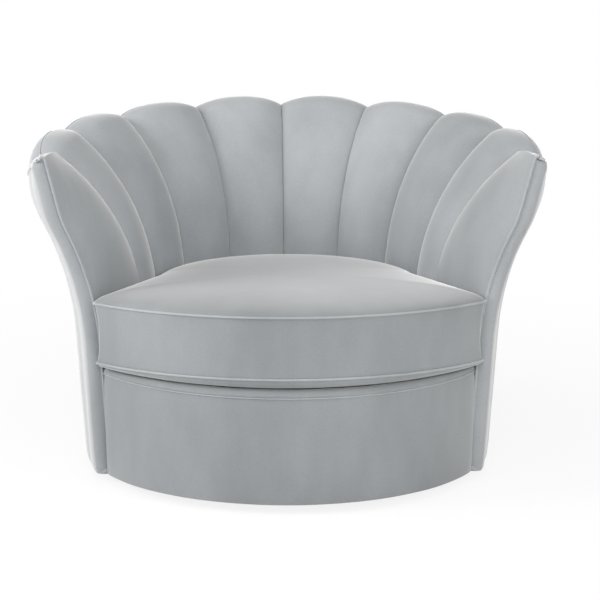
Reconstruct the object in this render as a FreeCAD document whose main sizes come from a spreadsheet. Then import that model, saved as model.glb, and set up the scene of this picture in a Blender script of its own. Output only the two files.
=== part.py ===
"""Round swivel cuddle chair: a drum base with a flared shell back of ten stuffed channels.

The chair turns on a ball-bearing swivel over a flat round base. Millimetres, +Z up, origin on the
swivel axis at the floor. The sitter faces -Y, and angles round the back are measured from +Y.
"""

import FreeCAD
import Part
import Sketcher
import os
import re
from math import acos, asin, atan, atan2, ceil, cos, degrees, hypot, pi, radians, sin, sqrt, tan
from FreeCAD import Placement, Rotation, Vector

doc = FreeCAD.newDocument("cuddle_chair")
sheet = doc.addObject("Spreadsheet::Sheet", "sizes")

# Driving dimensions, in millimetres and degrees.
SIZES = {
    # outside cover: a leaning wall, a hollow waist and a rounded shoulder
    "base_radius": 457,
    "wall_batter": 3.4,
    "waist_radius": 646,
    "flare_slope": 27,
    "shoulder_radius": 264,
    "shoulder_drop": 82,
    "cover_thickness": 4,
    "cover_clearance": 2,
    # rim of the back, highest behind the sitter
    "rim_height": 757,
    "rim_fall": 53,
    "rim_roll_radius": 42,
    "rim_gap": 1.5,
    "rim_welt_drop": 4.8,
    "channel_angle": 23.6,
    "outside_back_angle": 94.4,
    # inside of the back, along the seams between channels
    "inside_lean": 8,
    "inside_flare_radius": 448,
    "inside_flare_angle": 53,
    "channel_bulge": 30,
    "channel_backing": 14,
    "seam_gap": 0.6,
    # arm fronts
    "arm_front_drop": 62,
    "arm_fullness": 0.7,
    "arm_backing": 8,
    "arm_front_backing": 3.6,
    "welt_inset": 12,
    "welt_radius": 3,
    "arm_post_width": 26,
    "arm_post_angle": 111,
    "arm_post_drop": 60,
    "facing_angle": 0.5,
    # seat deck and front border
    "deck_height": 262,
    "deck_thickness": 16,
    "border_thickness": 12,
    "border_taper": 4,
    "lip_radius": 16,
    "panel_thickness": 4,
    "clearance": 0.3,
    # loose cushion
    "cushion_front_radius": 470,
    "cushion_clearance": 1.5,
    "cushion_low_seam": 288,
    "cushion_high_seam": 403,
    "cushion_crown": 438,
    "cushion_waist": 7,
    "cushion_wall": 3,
    "corner_rounding": 30,
    "piping_radius": 2.6,
    "piping_gap": 0.5,
    # plywood frame
    "ply": 18,
    "ring_inner_radius": 350,
    "seat_ring_width": 110,
    "front_rail_width": 40.7,
    "rib_foot_radius": 420,
    "rib_clearance": 1.3,
    "rail_inset": 51,
    "rail_width": 40,
    "rail_drop": 50,
    "post_width": 45,
    "post_depth": 55,
    "front_post_depth": 34,
    "swivel_board_width": 320,
    "swivel_board_length": 770,
    # seat springs
    "spring_count": 7,
    "spring_spacing": 88,
    "spring_wire": 4,
    "spring_pitch": 60,
    "spring_wave": 26,
    "spring_seat": 12,
    "clip_thickness": 2,
    "clip_overhang": 7,
    "clip_lead": 1,
    # swivel and base
    "pad_thickness": 6,
    "pad_radius": 22,
    "pad_inset": 10,
    "base_disc_radius": 280,
    "plate_side": 300,
    "plate_thickness": 3,
    "plate_bore_radius": 30,
    "race_radius": 110,
    "race_depth": 1,
    "ball_radius": 5,
    "ball_clearance": 0.05,
    "ball_count": 8,
    "cage_thickness": 2,
    "cage_width": 24,
    "bolt_radius": 4,
    "bolt_head": 2.5,
    "bolt_circle_radius": 180,
    # dust cover under the drum
    "dust_thickness": 1,
    "dust_clearance": 12,
    "dust_margin": 6,
}
for row, (name, value) in enumerate(SIZES.items(), start=1):
    sheet.set(f"A{row}", name)
    sheet.set(f"B{row}", str(value))
    sheet.setAlias(f"B{row}", name)
doc.recompute()


def bound(formula):
    """The formula with each size's name pointing at its cell."""
    return re.sub(r"[a-z_]+", lambda word: f"sizes.{word[0]}" if word[0] in SIZES else word[0], formula)


def size(formula):
    """The number that a formula of sizes gives now."""
    return float(sheet.evalExpression(bound(formula)))


# Heights from the floor up: pads, base disc, swivel, base ring.
DISC_TOP = "(pad_thickness + ply)"
PLATE_GAP = "(2 * (ball_radius + ball_clearance - race_depth))"
BALL_HEIGHT = f"({DISC_TOP} + plate_thickness + {PLATE_GAP} / 2)"
RING_TOP = f"({DISC_TOP} + 2 * plate_thickness + {PLATE_GAP})"
FLOOR_GAP = f"({RING_TOP} - ply)"
DECK_BOTTOM = "(deck_height - deck_thickness)"
SEAT_RING_TOP = f"({DECK_BOTTOM} - spring_wire - clip_thickness)"

# The shoulder and the arm fronts keep their drop below the rim.
SHOULDER_HEIGHT = "(rim_height - shoulder_drop)"
ARM_FRONT_HEIGHT = "(rim_height - arm_front_drop)"

# Outside cover, from the floor gap up: radius and height at each change of curve.
CURVE_TOP = f"({SHOULDER_HEIGHT} - shoulder_radius * sin(flare_slope))"
WALL_TOP = f"({CURVE_TOP} - waist_radius * (sin(flare_slope) - sin(wall_batter)))"
WALL_TOP_RADIUS = f"(base_radius + ({WALL_TOP} - {FLOOR_GAP}) * tan(wall_batter))"
CURVE_TOP_RADIUS = f"({WALL_TOP_RADIUS} + waist_radius * (cos(wall_batter) - cos(flare_slope)))"
WIDEST_RADIUS = f"({CURVE_TOP_RADIUS} + shoulder_radius * (1 - cos(flare_slope)))"
CHANNEL_COUNT = 10
OUTER_SEAM = 4
ARM_FRONT_ANGLE = "(5 * channel_angle)"


def seam_angle(number):
    return number * size("channel_angle")


def rim_at(angle):
    """Height of the rim's seams at an angle from the back: the rim lies in a tilted plane."""
    return size("rim_height") - size("rim_fall") * (1 - cos(radians(angle)))


def cover_radius(height, inset=0):
    """Radius of the outside cover, or of a surface that lies this far inside it."""
    above = height - size(SHOULDER_HEIGHT)
    if height > size(CURVE_TOP):
        bend = size("shoulder_radius")
        return size(WIDEST_RADIUS) - bend + sqrt((bend - inset) ** 2 - above**2)
    lean = radians(size("wall_batter"))
    if height > size(WALL_TOP):
        bend = size("waist_radius")
        centre = size(WALL_TOP_RADIUS) + bend * cos(lean)
        rise = height - size(WALL_TOP) + bend * sin(lean)
        return centre - sqrt((bend + inset) ** 2 - rise**2)
    return size(WALL_TOP_RADIUS) - (size(WALL_TOP) - height) * tan(lean) - inset / cos(lean)


def at(angle, radius, height):
    """The point at an angle from the back, a radius and a height."""
    return Vector(radius * sin(radians(angle)), radius * cos(radians(angle)), height)


NODES = {}


def node(item, name, placement=None):
    """Names a sub-part. Its label is its file's name."""
    item.Label = name
    if placement:
        item.Placement = placement
    NODES[name] = item
    return item


def turned(angle):
    """Turns a piece drawn along +X to an angle from the back."""
    return Placement(Vector(), Rotation(Vector(0, 0, 1), 90 - angle))


def cylinder(name, radius, height, base="0", x="0", y="0"):
    item = doc.addObject("Part::Cylinder", name)
    item.setExpression("Radius", bound(radius))
    item.setExpression("Height", bound(height))
    item.setExpression("Placement.Base.x", bound(x))
    item.setExpression("Placement.Base.y", bound(y))
    item.setExpression("Placement.Base.z", bound(base))
    return item


def sector(name, radius, height, base, first, sweep):
    """A wedge of a disc that starts at an angle from the back and runs on round the front."""
    item = cylinder(name, radius, height, base)
    item.setExpression("Angle", bound(sweep))
    item.setExpression("Placement.Rotation.Angle", bound(f"90 - ({first}) - ({sweep})"))
    return item


def box(name, length, width, height, x, y, z):
    """A box given by its size and the middle of its underside."""
    item = doc.addObject("Part::Box", name)
    item.setExpression("Length", bound(length))
    item.setExpression("Width", bound(width))
    item.setExpression("Height", bound(height))
    item.setExpression("Placement.Base.x", bound(f"({x}) - ({length}) / 2"))
    item.setExpression("Placement.Base.y", bound(f"({y}) - ({width}) / 2"))
    item.setExpression("Placement.Base.z", bound(z))
    return item


def cut(name, base, tool):
    item = doc.addObject("Part::Cut", name)
    item.Base = base
    item.Tool = tool
    return item


def fuse(name, *items):
    item = doc.addObject("Part::MultiFuse", name)
    item.Shapes = list(items)
    return item


def group(name, items):
    item = doc.addObject("Part::Compound", name)
    item.Links = items
    return item


def solid(name, shape, placement=None):
    item = doc.addObject("Part::Feature", name)
    item.Shape = shape
    return node(item, name, placement)


def ring(name, inner, outer, height, base):
    hole = cylinder(f"{name}_hole", inner, f"{height} + 2", f"{base} - 1")
    return cut(f"{name}_ring", cylinder(f"{name}_disc", outer, height, base), hole)


def body(name):
    item = doc.addObject("PartDesign::Body", name)
    item.Label = f"{name}_body"
    return item


def origin_plane(item, role):
    return next(plane for plane in item.Origin.OriginFeatures if plane.Role == role)


def outline(item, role, corners):
    """A closed sketch outline with every corner and radius bound to the sizes.

    Each corner is (across, up), or (across, up, radius, side) where an arc leads up to it: side is 1
    where the arc turns left and -1 where it turns right.
    """
    sketch = item.newObject("Sketcher::SketchObject", f"{item.Name}_outline")
    sketch.AttachmentSupport = [(origin_plane(item, role), "")]
    sketch.MapMode = "FlatFace"
    spots = [Vector(size(corner[0]), size(corner[1]), 0) for corner in corners]
    ends = []
    for index, corner in enumerate(corners):
        start = spots[index - 1]
        end = spots[index]
        if len(corner) == 2:
            sketch.addGeometry(Part.LineSegment(start, end))
            ends.append((1, 2))
            continue
        radius = size(corner[2])
        half = (end - start) * 0.5
        side = Vector(-half.y, half.x, 0).normalize() * corner[3]
        centre = start + half + side * sqrt(radius**2 - half.Length**2)
        middle = centre - side * radius
        arc = Part.Arc(start, middle, end)
        sketch.addGeometry(arc)
        ends.append((1, 2) if corner[3] > 0 else (2, 1))
    for index, corner in enumerate(corners):
        first, last = ends[index]
        following = (index + 1) % len(corners)
        sketch.addConstraint(Sketcher.Constraint("Coincident", index, last, following, ends[following][0]))
        for kind, formula in (("DistanceX", corner[0]), ("DistanceY", corner[1])):
            place = sketch.addConstraint(Sketcher.Constraint(kind, -1, 1, index, last, size(formula)))
            sketch.setExpression(f"Constraints[{place}]", bound(formula))
        if len(corner) > 2:
            place = sketch.addConstraint(Sketcher.Constraint("Radius", index, size(corner[2])))
            sketch.setExpression(f"Constraints[{place}]", bound(corner[2]))
    return sketch


def revolved(name, corners, sweep):
    """A body turned about the chair's axis, with +X in the middle of its sweep."""
    item = body(name)
    sketch = outline(item, "XZ_Plane", corners)
    turn = item.newObject("PartDesign::Revolution", f"{name}_turn")
    turn.Profile = sketch
    turn.ReferenceAxis = (sketch, ["V_Axis"])
    turn.Midplane = True
    turn.setExpression("Angle", bound(sweep))
    item.Tip = turn
    return item


def plate(name, role, corners, thickness):
    """A body cut from board: its outline padded evenly to both sides."""
    item = body(name)
    pad = item.newObject("PartDesign::Pad", f"{name}_pad")
    pad.Profile = outline(item, role, corners)
    pad.Midplane = True
    pad.setExpression("Length", bound(thickness))
    item.Tip = pad
    return item


# Base disc: stays on the floor, on felt pads.
OUTER_PADS = 6
PAD_REACH = "(base_disc_radius - pad_radius - pad_inset)"
base_pads = [cylinder("middle_pad", "pad_radius", "pad_thickness")]
for number in range(OUTER_PADS):
    turn = 360 * number / OUTER_PADS
    base_pads.append(cylinder(f"pad_{number}", "pad_radius", "pad_thickness", "0",
                              f"{PAD_REACH} * cos({turn})", f"{PAD_REACH} * sin({turn})"))
node(group("pads", base_pads), "floor_pads")
node(cylinder("base", "base_disc_radius", "ply", "pad_thickness"), "base_disc")


# Swivel: two square steel plates with a pressed race, and balls between them.
def bolt_places():
    reach = "bolt_circle_radius * cos(45)"
    for across in (-1, 1):
        for along in (-1, 1):
            yield f"{across} * {reach}", f"{along} * {reach}"


def swivel_plate(name, base, race_height):
    blank = box(f"{name}_blank", "plate_side", "plate_side", "plate_thickness", "0", "0", base)
    race = doc.addObject("Part::Torus", f"{name}_race")
    race.setExpression("Radius1", bound("race_radius"))
    race.setExpression("Radius2", bound("ball_radius + ball_clearance"))
    race.setExpression("Placement.Base.z", bound(race_height))
    holes = [cylinder(f"{name}_centre", "plate_bore_radius", "plate_thickness + 2", f"{base} - 1")]
    for number, (x, y) in enumerate(bolt_places()):
        hole = cylinder(f"{name}_hole_{number}", "bolt_radius", "plate_thickness + 2", f"{base} - 1", x, y)
        holes.append(hole)
    return cut(f"{name}_cut", blank, fuse(f"{name}_tools", race, *holes))


def bolts(name, head_base, shank_base, shank_height):
    """Four bolts whose heads and shanks start at the given heights."""
    made = []
    for number, (x, y) in enumerate(bolt_places()):
        head = cylinder(f"{name}_head_{number}", "2 * bolt_radius", "bolt_head", head_base, x, y)
        shank = cylinder(f"{name}_shank_{number}", "bolt_radius", shank_height, shank_base, x, y)
        made.append(fuse(f"{name}_{number}", head, shank))
    return node(group(name, made), name)


UPPER_PLATE = f"({RING_TOP} - plate_thickness)"
node(swivel_plate("lower_plate", DISC_TOP, BALL_HEIGHT), "swivel_lower_plate")
node(swivel_plate("upper_plate", UPPER_PLATE, BALL_HEIGHT), "swivel_upper_plate")
LOWER_HEAD = f"({DISC_TOP} + plate_thickness)"
bolts("lower_plate_screws", LOWER_HEAD, DISC_TOP, "plate_thickness + bolt_head")
UPPER_HEAD = f"({UPPER_PLATE} - bolt_head)"
bolts("upper_plate_bolts", UPPER_HEAD, UPPER_HEAD, "plate_thickness + bolt_head")

balls = []
pockets = []
for number in range(int(size("ball_count"))):
    for kept, radius in ((balls, "ball_radius"), (pockets, "ball_radius + ball_clearance")):
        ball = doc.addObject("Part::Sphere", f"ball_{number}")
        ball.setExpression("Radius", bound(radius))
        ball.setExpression("Placement.Base.x", bound(f"race_radius * cos({number} * 360 / ball_count)"))
        ball.setExpression("Placement.Base.y", bound(f"race_radius * sin({number} * 360 / ball_count)"))
        ball.setExpression("Placement.Base.z", bound(BALL_HEIGHT))
        kept.append(ball)
node(group("balls", balls), "swivel_balls")
cage = ring("cage", "race_radius - cage_width / 2", "race_radius + cage_width / 2", "cage_thickness",
            f"{BALL_HEIGHT} - cage_thickness / 2")
node(cut("cage_cut", cage, fuse("cage_pockets", *pockets)), "ball_cage")

# Swivel board and the two plywood rings of the turning frame.
node(box("board", "swivel_board_length", "swivel_board_width", "ply", "0", "0", RING_TOP), "swivel_board")
COVER_INSIDE = "(base_radius - cover_thickness - cover_clearance)"
PANEL_RADIUS = "(base_radius - border_thickness)"
FRONT_RAIL_INNER = f"({PANEL_RADIUS} - panel_thickness - front_rail_width)"
SEAT_RING_OUTER = f"({FRONT_RAIL_INNER} - clearance)"
SEAT_RING_INNER = f"({SEAT_RING_OUTER} - seat_ring_width)"
NOTCH_RADIUS = "(welt_inset + 2 * welt_radius + clearance)"
notches = [cylinder(f"notch_{side + 1}", NOTCH_RADIUS, "ply + 2", f"{FLOOR_GAP} - 1",
                    f"{side} * base_radius * sin{ARM_FRONT_ANGLE}", f"base_radius * cos{ARM_FRONT_ANGLE}")
           for side in (-1, 1)]
base_frame = ring("base_frame", "ring_inner_radius", COVER_INSIDE, "ply", FLOOR_GAP)
node(cut("notched_frame", base_frame, fuse("notches", *notches)), "base_ring")
SEAT_RING_BASE = f"({SEAT_RING_TOP} - ply)"
node(ring("seat_frame", SEAT_RING_INNER, SEAT_RING_OUTER, "ply", SEAT_RING_BASE), "seat_ring")
node(ring("dust", "base_disc_radius + dust_clearance", f"{COVER_INSIDE} - dust_margin", "dust_thickness",
          f"{FLOOR_GAP} - dust_thickness"), "dust_cover")

# Posts between the rings. Two of them stand on the swivel board.
POST_REACH = f"({SEAT_RING_OUTER} - seat_ring_width / 2)"


def post(name, angle, base, reach, top, depth="post_depth"):
    item = doc.addObject("Part::Box", name)
    item.setExpression("Length", bound(depth))
    item.setExpression("Width", bound("post_width"))
    item.setExpression("Height", bound(f"{top} - {base}"))
    turn = 90 - angle
    item.Placement.Rotation = Rotation(Vector(0, 0, 1), turn)
    along = f"({reach} - {depth} / 2)"
    item.setExpression("Placement.Base.x", bound(f"{along} * cos({turn}) + post_width / 2 * sin({turn})"))
    item.setExpression("Placement.Base.y", bound(f"{along} * sin({turn}) - post_width / 2 * cos({turn})"))
    item.setExpression("Placement.Base.z", bound(base))
    return item


RING_POST_ANGLES = (-48, -16, 16, 48, 132, 164, 196, 228)
BOARD_POST_ANGLES = (-90, 90)
seat_posts = [post(f"seat_post_{angle}", angle, RING_TOP, POST_REACH, SEAT_RING_BASE)
              for angle in RING_POST_ANGLES]
seat_posts += [post(f"board_post_{angle}", angle, f"({RING_TOP} + ply)", POST_REACH, SEAT_RING_BASE)
               for angle in BOARD_POST_ANGLES]
node(group("seat_post_group", seat_posts), "seat_posts")


# Inside of the back: each seam leans, flares outward and rolls over the rim onto the cover.
def seam_point(angle, slope, height=None):
    """A point of the seam at an angle from the back, and the direction that faces the sitter there.

    Slope is the seam's own direction, from 0 straight up to 180 straight down outside. Below the flare,
    height gives the place instead.
    """
    roll = size("rim_roll_radius")
    flare_end = size("inside_flare_angle")
    centre_radius = cover_radius(rim_at(angle) - roll) - roll
    centre_height = rim_at(angle) - roll
    turn = radians(slope)
    facing = (-cos(turn), sin(turn))
    if slope > flare_end:
        spot = (centre_radius - roll * cos(turn), centre_height + roll * sin(turn))
    else:
        end = radians(flare_end)
        bend = size("inside_flare_radius")
        spot = (centre_radius - roll * cos(end) - bend * (cos(turn) - cos(end)),
                centre_height + roll * sin(end) - bend * (sin(end) - sin(turn)))
    if height is not None:
        spot = (spot[0] - (spot[1] - height) * tan(radians(size("inside_lean"))), height)
        facing = (-1, 0)
    away = radians(angle)
    return (Vector(spot[0] * sin(away), spot[0] * cos(away), spot[1]),
            Vector(facing[0] * sin(away), facing[0] * cos(away), facing[1]))


def petal_section(left, right, bulge, left_backing, right_backing):
    """One cross-section of a channel: a crowned front between two seams and a flat back."""
    (start, start_facing), (end, end_facing) = left, right
    along = (end - start).normalize()
    facing = start_facing + end_facing
    facing = (facing - along * facing.dot(along)).normalize()
    across = along.cross(facing)

    def behind(spot, direction, depth):
        flat = (direction - across * direction.dot(across)).normalize()
        return spot - flat * depth

    crown = (start + end) * 0.5 + facing * bulge
    back_start = behind(start, start_facing, left_backing)
    back_end = behind(end, end_facing, right_backing)
    return Part.Wire([
        Part.Arc(start, crown, end).toShape(),
        Part.makeLine(end, back_end),
        Part.makeLine(back_end, back_start),
        Part.makeLine(back_start, start),
    ])


CHANNEL_FOOT = size("deck_height + clearance")
RIM_CHORD = 2 * (size(WIDEST_RADIUS) - size("rim_roll_radius")) * sin(radians(size("channel_angle") / 2))


def bulge_of(left, right, share):
    """A channel keeps one rounded shape, so its bulge grows with its width."""
    return size("channel_bulge") * share * (right[0] - left[0]).Length / RIM_CHORD


FLARE_STEPS = 6
ROLL_STEPS = 5


def slopes():
    """The stations of a channel: along the flare, then over the rim. The last lies on the cover."""
    lean = size("inside_lean")
    flare_end = size("inside_flare_angle")
    flare = [lean + (flare_end - lean) * step / FLARE_STEPS for step in range(FLARE_STEPS + 1)]
    return flare + [flare_end + (180 - flare_end) * step / ROLL_STEPS for step in range(1, ROLL_STEPS + 1)]


FOOT_SHARE = 0.15
END_SHARE = 0.45


def roll_share(slope):
    """How full a channel is: all the way round to the outside, where it flattens onto the cover."""
    return 1 - (1 - END_SHARE) * max(0, (slope - 90) / 90) ** 2


def channel(left_angle, right_angle):
    """A stuffed channel between two seams, from the deck over the rim to the outside cover."""
    gap = size("seam_gap") / 2
    sections = []

    def add(slope, share, height=None):
        ends = []
        for angle, way in ((left_angle, 1), (right_angle, -1)):
            spot, facing = seam_point(angle, slope, height)
            aside = way * gap
            sideways = Vector(cos(radians(angle)), -sin(radians(angle)), 0)
            ends.append((spot + sideways * aside, facing))
        backing = size("channel_backing")
        sections.append(petal_section(*ends, bulge_of(*ends, share), backing, backing))

    lean = size("inside_lean")
    add(lean, FOOT_SHARE, CHANNEL_FOOT)
    for slope in slopes():
        add(slope, roll_share(slope))
    return Part.makeLoft(sections, True, True)


first_seam = -OUTER_SEAM
for number in range(CHANNEL_COUNT - 2):
    left = seam_angle(first_seam + number)
    right = seam_angle(first_seam + number + 1)
    solid(f"back_channel_{number + 2:02d}", channel(left, right))

WELT_ROLL = size("welt_inset") / 2
PANEL_GAP = 0.06


def welt_point(slope, height=None):
    """A point of the arm padding's front edge, just behind the facing of the outside cover."""
    away = radians(size(f"{ARM_FRONT_ANGLE} - facing_angle") - 2 * PANEL_GAP)
    if height is None:
        turn = radians(slope)
        top = size(ARM_FRONT_HEIGHT)
        centre_radius = cover_radius(top - WELT_ROLL) - WELT_ROLL
        radius = centre_radius - WELT_ROLL * cos(turn)
        height = top - WELT_ROLL + WELT_ROLL * sin(turn)
        facing = (-cos(turn), sin(turn))
    else:
        radius = cover_radius(height) - size("welt_inset")
        facing = (-1, 0)
    return (Vector(radius * sin(away), radius * cos(away), height),
            Vector(facing[0] * sin(away), facing[0] * cos(away), facing[1]))


def arm_channel():
    """The right arm's channel, from the last seam out to the front edge of the arm."""
    seam = seam_angle(OUTER_SEAM)
    gap = size("seam_gap") / 2
    aside = Vector(cos(radians(seam)), -sin(radians(seam)), 0) * gap
    sections = []

    def add(slope, share, height=None, front_height=None):
        spot, facing = seam_point(seam, slope, height)
        left = (spot + aside, facing)
        right = welt_point(slope, front_height)
        bulge = bulge_of(left, right, share)
        sections.append(petal_section(left, right, bulge, size("arm_backing"), size("arm_front_backing")))

    lean = size("inside_lean")
    add(lean, FOOT_SHARE, CHANNEL_FOOT, CHANNEL_FOOT)
    flare_end = size("inside_flare_angle")
    flare_foot = seam_point(seam, lean)[0].z
    front_top = size(ARM_FRONT_HEIGHT) - 2 * WELT_ROLL
    for slope in slopes():
        if slope <= flare_end:
            height = seam_point(seam, slope)[0].z
            done = (height - flare_foot) / (seam_point(seam, flare_end)[0].z - flare_foot)
            front = flare_foot + (front_top - flare_foot) * done
            add(slope, FOOT_SHARE + (1 - FOOT_SHARE) * min(1, 2 * done), None, front)
        else:
            add(slope, size("arm_fullness") * roll_share(slope))
    return Part.makeLoft(sections, True, True)


right_arm = arm_channel()
solid("back_channel_10", right_arm)
solid("back_channel_01", right_arm.mirror(Vector(), Vector(1, 0, 0)))


# Outside cover: three panels turned to one profile and cut off along the rim.
def shoulder_at(bend, height):
    """Radius of a surface that follows the shoulder, at a height above its start."""
    return f"({WIDEST_RADIUS} - shoulder_radius + sqrt({bend} ^ 2 - ({height} - {SHOULDER_HEIGHT}) ^ 2))"


def hollow_wall(outset, inset, foot, top):
    """The outline between two surfaces that follow the cover, from a level foot to a level top."""
    def corners(depth):
        down = f"({WALL_TOP} - {foot}) * tan(wall_batter)"
        lower = (f"{WALL_TOP_RADIUS} - {down} - ({depth}) / cos(wall_batter)", foot)
        middle = (f"{WALL_TOP_RADIUS} - ({depth}) * cos(wall_batter)",
                  f"{WALL_TOP} + ({depth}) * sin(wall_batter)")
        upper = (f"{CURVE_TOP_RADIUS} - ({depth}) * cos(flare_slope)",
                 f"{CURVE_TOP} + ({depth}) * sin(flare_slope)")
        return lower, middle, upper, (shoulder_at(f"(shoulder_radius - ({depth}))", top), top)

    lower, middle, upper, end = corners(outset)
    inner_lower, inner_middle, inner_upper, inner_end = corners(inset)
    return [
        lower,
        middle,
        (*upper, f"waist_radius + ({outset})", -1),
        (*end, f"shoulder_radius - ({outset})", 1),
        inner_end,
        (*inner_upper, f"shoulder_radius - ({inset})", -1),
        (*inner_middle, f"waist_radius + ({inset})", 1),
        inner_lower,
    ]


# The cover's top edge: level with the end of the rolled rim, then rising along each arm to its front.
CUT_TOP = "(rim_height - rim_roll_radius - rim_gap)"
ARM_CUT_Y = f"({WIDEST_RADIUS} * cos({OUTER_SEAM} * channel_angle))"
ARM_CUT_HEIGHT = f"({CUT_TOP} - rim_fall * (1 - cos({OUTER_SEAM} * channel_angle)))"
FRONT_CUT_Y = f"({WIDEST_RADIUS} * cos{ARM_FRONT_ANGLE})"
FRONT_CUT_HEIGHT = f"({ARM_FRONT_HEIGHT} - welt_inset / 2 - clearance)"
EDGE_RISE = f"(({FRONT_CUT_HEIGHT} - {ARM_CUT_HEIGHT}) / ({ARM_CUT_Y} - {FRONT_CUT_Y}))"


CUT_BEYOND = 60


def rim_cutter(name):
    """The space above the cover's top edge, from the back to beyond the arm fronts."""
    back = WIDEST_RADIUS
    ahead = f"({FRONT_CUT_Y} - {CUT_BEYOND})"
    return plate(name, "YZ_Plane", [
        (back, CUT_TOP),
        (back, f"rim_height + {CUT_BEYOND}"),
        (ahead, f"rim_height + {CUT_BEYOND}"),
        (ahead, f"{FRONT_CUT_HEIGHT} + {CUT_BEYOND} * {EDGE_RISE}"),
        (ARM_CUT_Y, ARM_CUT_HEIGHT),
    ], "4 * base_radius")


# The panels start a little too tall and are cut down along the rim.
PANEL_SPARE = 5
PANEL_TOP = f"{CUT_TOP} + {PANEL_SPARE}"


def outside_panel(name, middle, sweep):
    wall = revolved(f"{name}_wall", hollow_wall("0", "cover_thickness", FLOOR_GAP, PANEL_TOP),
                    f"{sweep} - {PANEL_GAP}")
    wall.Placement = turned(middle)
    return cut(f"{name}_cut", wall, rim_cutter(f"{name}_rim"))


SIDE_SWEEP = f"({ARM_FRONT_ANGLE} - outside_back_angle / 2)"
side_middle = size(f"outside_back_angle / 2 + {SIDE_SWEEP} / 2")
node(outside_panel("outside_back", 0, "outside_back_angle"), "outside_back")


def outside_arm(name, side):
    """A side panel with its return, which wraps the front of the arm as far as the welt."""
    panel = outside_panel(name, side * side_middle, SIDE_SWEEP)
    facing = revolved(f"{name}_facing",
                      hollow_wall("cover_thickness", "welt_inset", FLOOR_GAP, FRONT_CUT_HEIGHT),
                      "facing_angle")
    facing.Placement = turned(side * (size(f"{ARM_FRONT_ANGLE} - facing_angle / 2") - PANEL_GAP / 2))
    return node(fuse(name, panel, facing), name)


outside_arm("outside_arm_right", 1)
outside_arm("outside_arm_left", -1)

# Plywood ribs behind the seams: they stand on the base ring and carry the top rail.
RAIL_RADIUS = f"({WIDEST_RADIUS} - rail_inset)"
RIB_INSET = "(channel_backing + rib_clearance)"
FLARE_INNER = f"(inside_flare_radius - {RIB_INSET})"
RIB_STEP = 5


def flare_pivot(angle):
    """The middle of a seam's flare circle, outside the back and below the rim: radius and height."""
    roll_height = f"(rim_height - rim_fall * (1 - cos{angle}) - rim_roll_radius)"
    roll_radius = f"({shoulder_at('shoulder_radius', roll_height)} - rim_roll_radius)"
    arm = "(inside_flare_radius - rim_roll_radius)"
    return (f"({roll_radius} + {arm} * cos(inside_flare_angle))",
            f"({roll_height} - {arm} * sin(inside_flare_angle))")


def rib(number):
    """One rib, drawn along its own seam: hollow to the sitter, flared outside, cut flat for the rail."""
    angle = f"({abs(number)} * channel_angle)"
    rim = f"(rim_height - rim_fall * (1 - cos{angle}))"
    pivot_radius, pivot_height = flare_pivot(angle)
    flare_foot = f"({pivot_height} + {FLARE_INNER} * sin(inside_lean))"
    flare_foot_radius = f"({pivot_radius} - {FLARE_INNER} * cos(inside_lean))"
    rib_top = f"({rim} - rail_drop - ply / 2 * rim_fall * sin{angle} / {RAIL_RADIUS})"
    inner_top = f"({rib_top} - {RIB_STEP})"
    tilt = f"(rim_fall * cos{angle} / {RAIL_RADIUS})"
    inner_top_radius = f"({pivot_radius} - sqrt({FLARE_INNER} ^ 2 - ({inner_top} - {pivot_height}) ^ 2))"
    outer = "(cover_thickness + cover_clearance)"
    outer_bend = f"(shoulder_radius - {outer})"
    outer_top = f"({rib_top} + {tilt} * (rail_inset - {outer}))"
    item = plate(f"rib_{number + OUTER_SEAM}", "XZ_Plane", [
        ("rib_foot_radius", RING_TOP),
        ("rib_foot_radius", SEAT_RING_TOP),
        (f"{flare_foot_radius} - ({flare_foot} - {SEAT_RING_TOP}) * tan(inside_lean)", SEAT_RING_TOP),
        (flare_foot_radius, flare_foot),
        (inner_top_radius, inner_top, FLARE_INNER, -1),
        (f"{RAIL_RADIUS} - rail_width / 2", f"{rib_top} - {tilt} * rail_width / 2"),
        (shoulder_at(outer_bend, outer_top), outer_top),
        (f"{CURVE_TOP_RADIUS} - {outer} * cos(flare_slope)", f"{CURVE_TOP} + {outer} * sin(flare_slope)",
         outer_bend, -1),
        (f"{WALL_TOP_RADIUS} - {outer} * cos(wall_batter)", f"{WALL_TOP} + {outer} * sin(wall_batter)",
         f"waist_radius + {outer}", 1),
        (f"{WALL_TOP_RADIUS} - ({WALL_TOP} - {RING_TOP}) * tan(wall_batter) - {outer} / cos(wall_batter)",
         RING_TOP),
    ], "ply")
    item.Placement = turned(seam_angle(number))
    return item


node(group("ribs", [rib(number) for number in range(-OUTER_SEAM, OUTER_SEAM + 1)]), "back_ribs")


# Arm posts: curved plywood strips behind the arm fronts.
def arm_post(side):
    item = plate(f"arm_post_{side + 1}", "XZ_Plane",
                 hollow_wall("cover_thickness + cover_clearance",
                             "cover_thickness + cover_clearance + arm_post_width",
                             RING_TOP, f"{ARM_FRONT_HEIGHT} - arm_post_drop"), "ply")
    item.Placement = turned(side * size("arm_post_angle"))
    return item


node(group("arm_post_group", [arm_post(-1), arm_post(1)]), "arm_posts")


# Top rail: a flat plywood bow on the ribs, tilted as the rim is. It runs a little past the last ribs.
RAIL_SPARE_ANGLE = 3


def top_rail():
    sweep = f"(2 * {OUTER_SEAM} * channel_angle + 2 * {RAIL_SPARE_ANGLE})"
    outer = sector("rail_outer", f"{RAIL_RADIUS} + rail_width / 2", "ply", "0",
                   f"- {OUTER_SEAM} * channel_angle - {RAIL_SPARE_ANGLE}", sweep)
    bore = cylinder("rail_inner", f"{RAIL_RADIUS} - rail_width / 2", "ply + 2", "-1")
    item = cut("rail_cut", outer, bore)
    tilt = degrees(atan(size(f"rim_fall / {RAIL_RADIUS}")))
    item.Placement = Placement(Vector(0, 0, size("rim_height - rail_drop - rim_fall + clearance")),
                               Rotation(Vector(1, 0, 0), tilt))
    return item


node(top_rail(), "top_rail")


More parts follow.
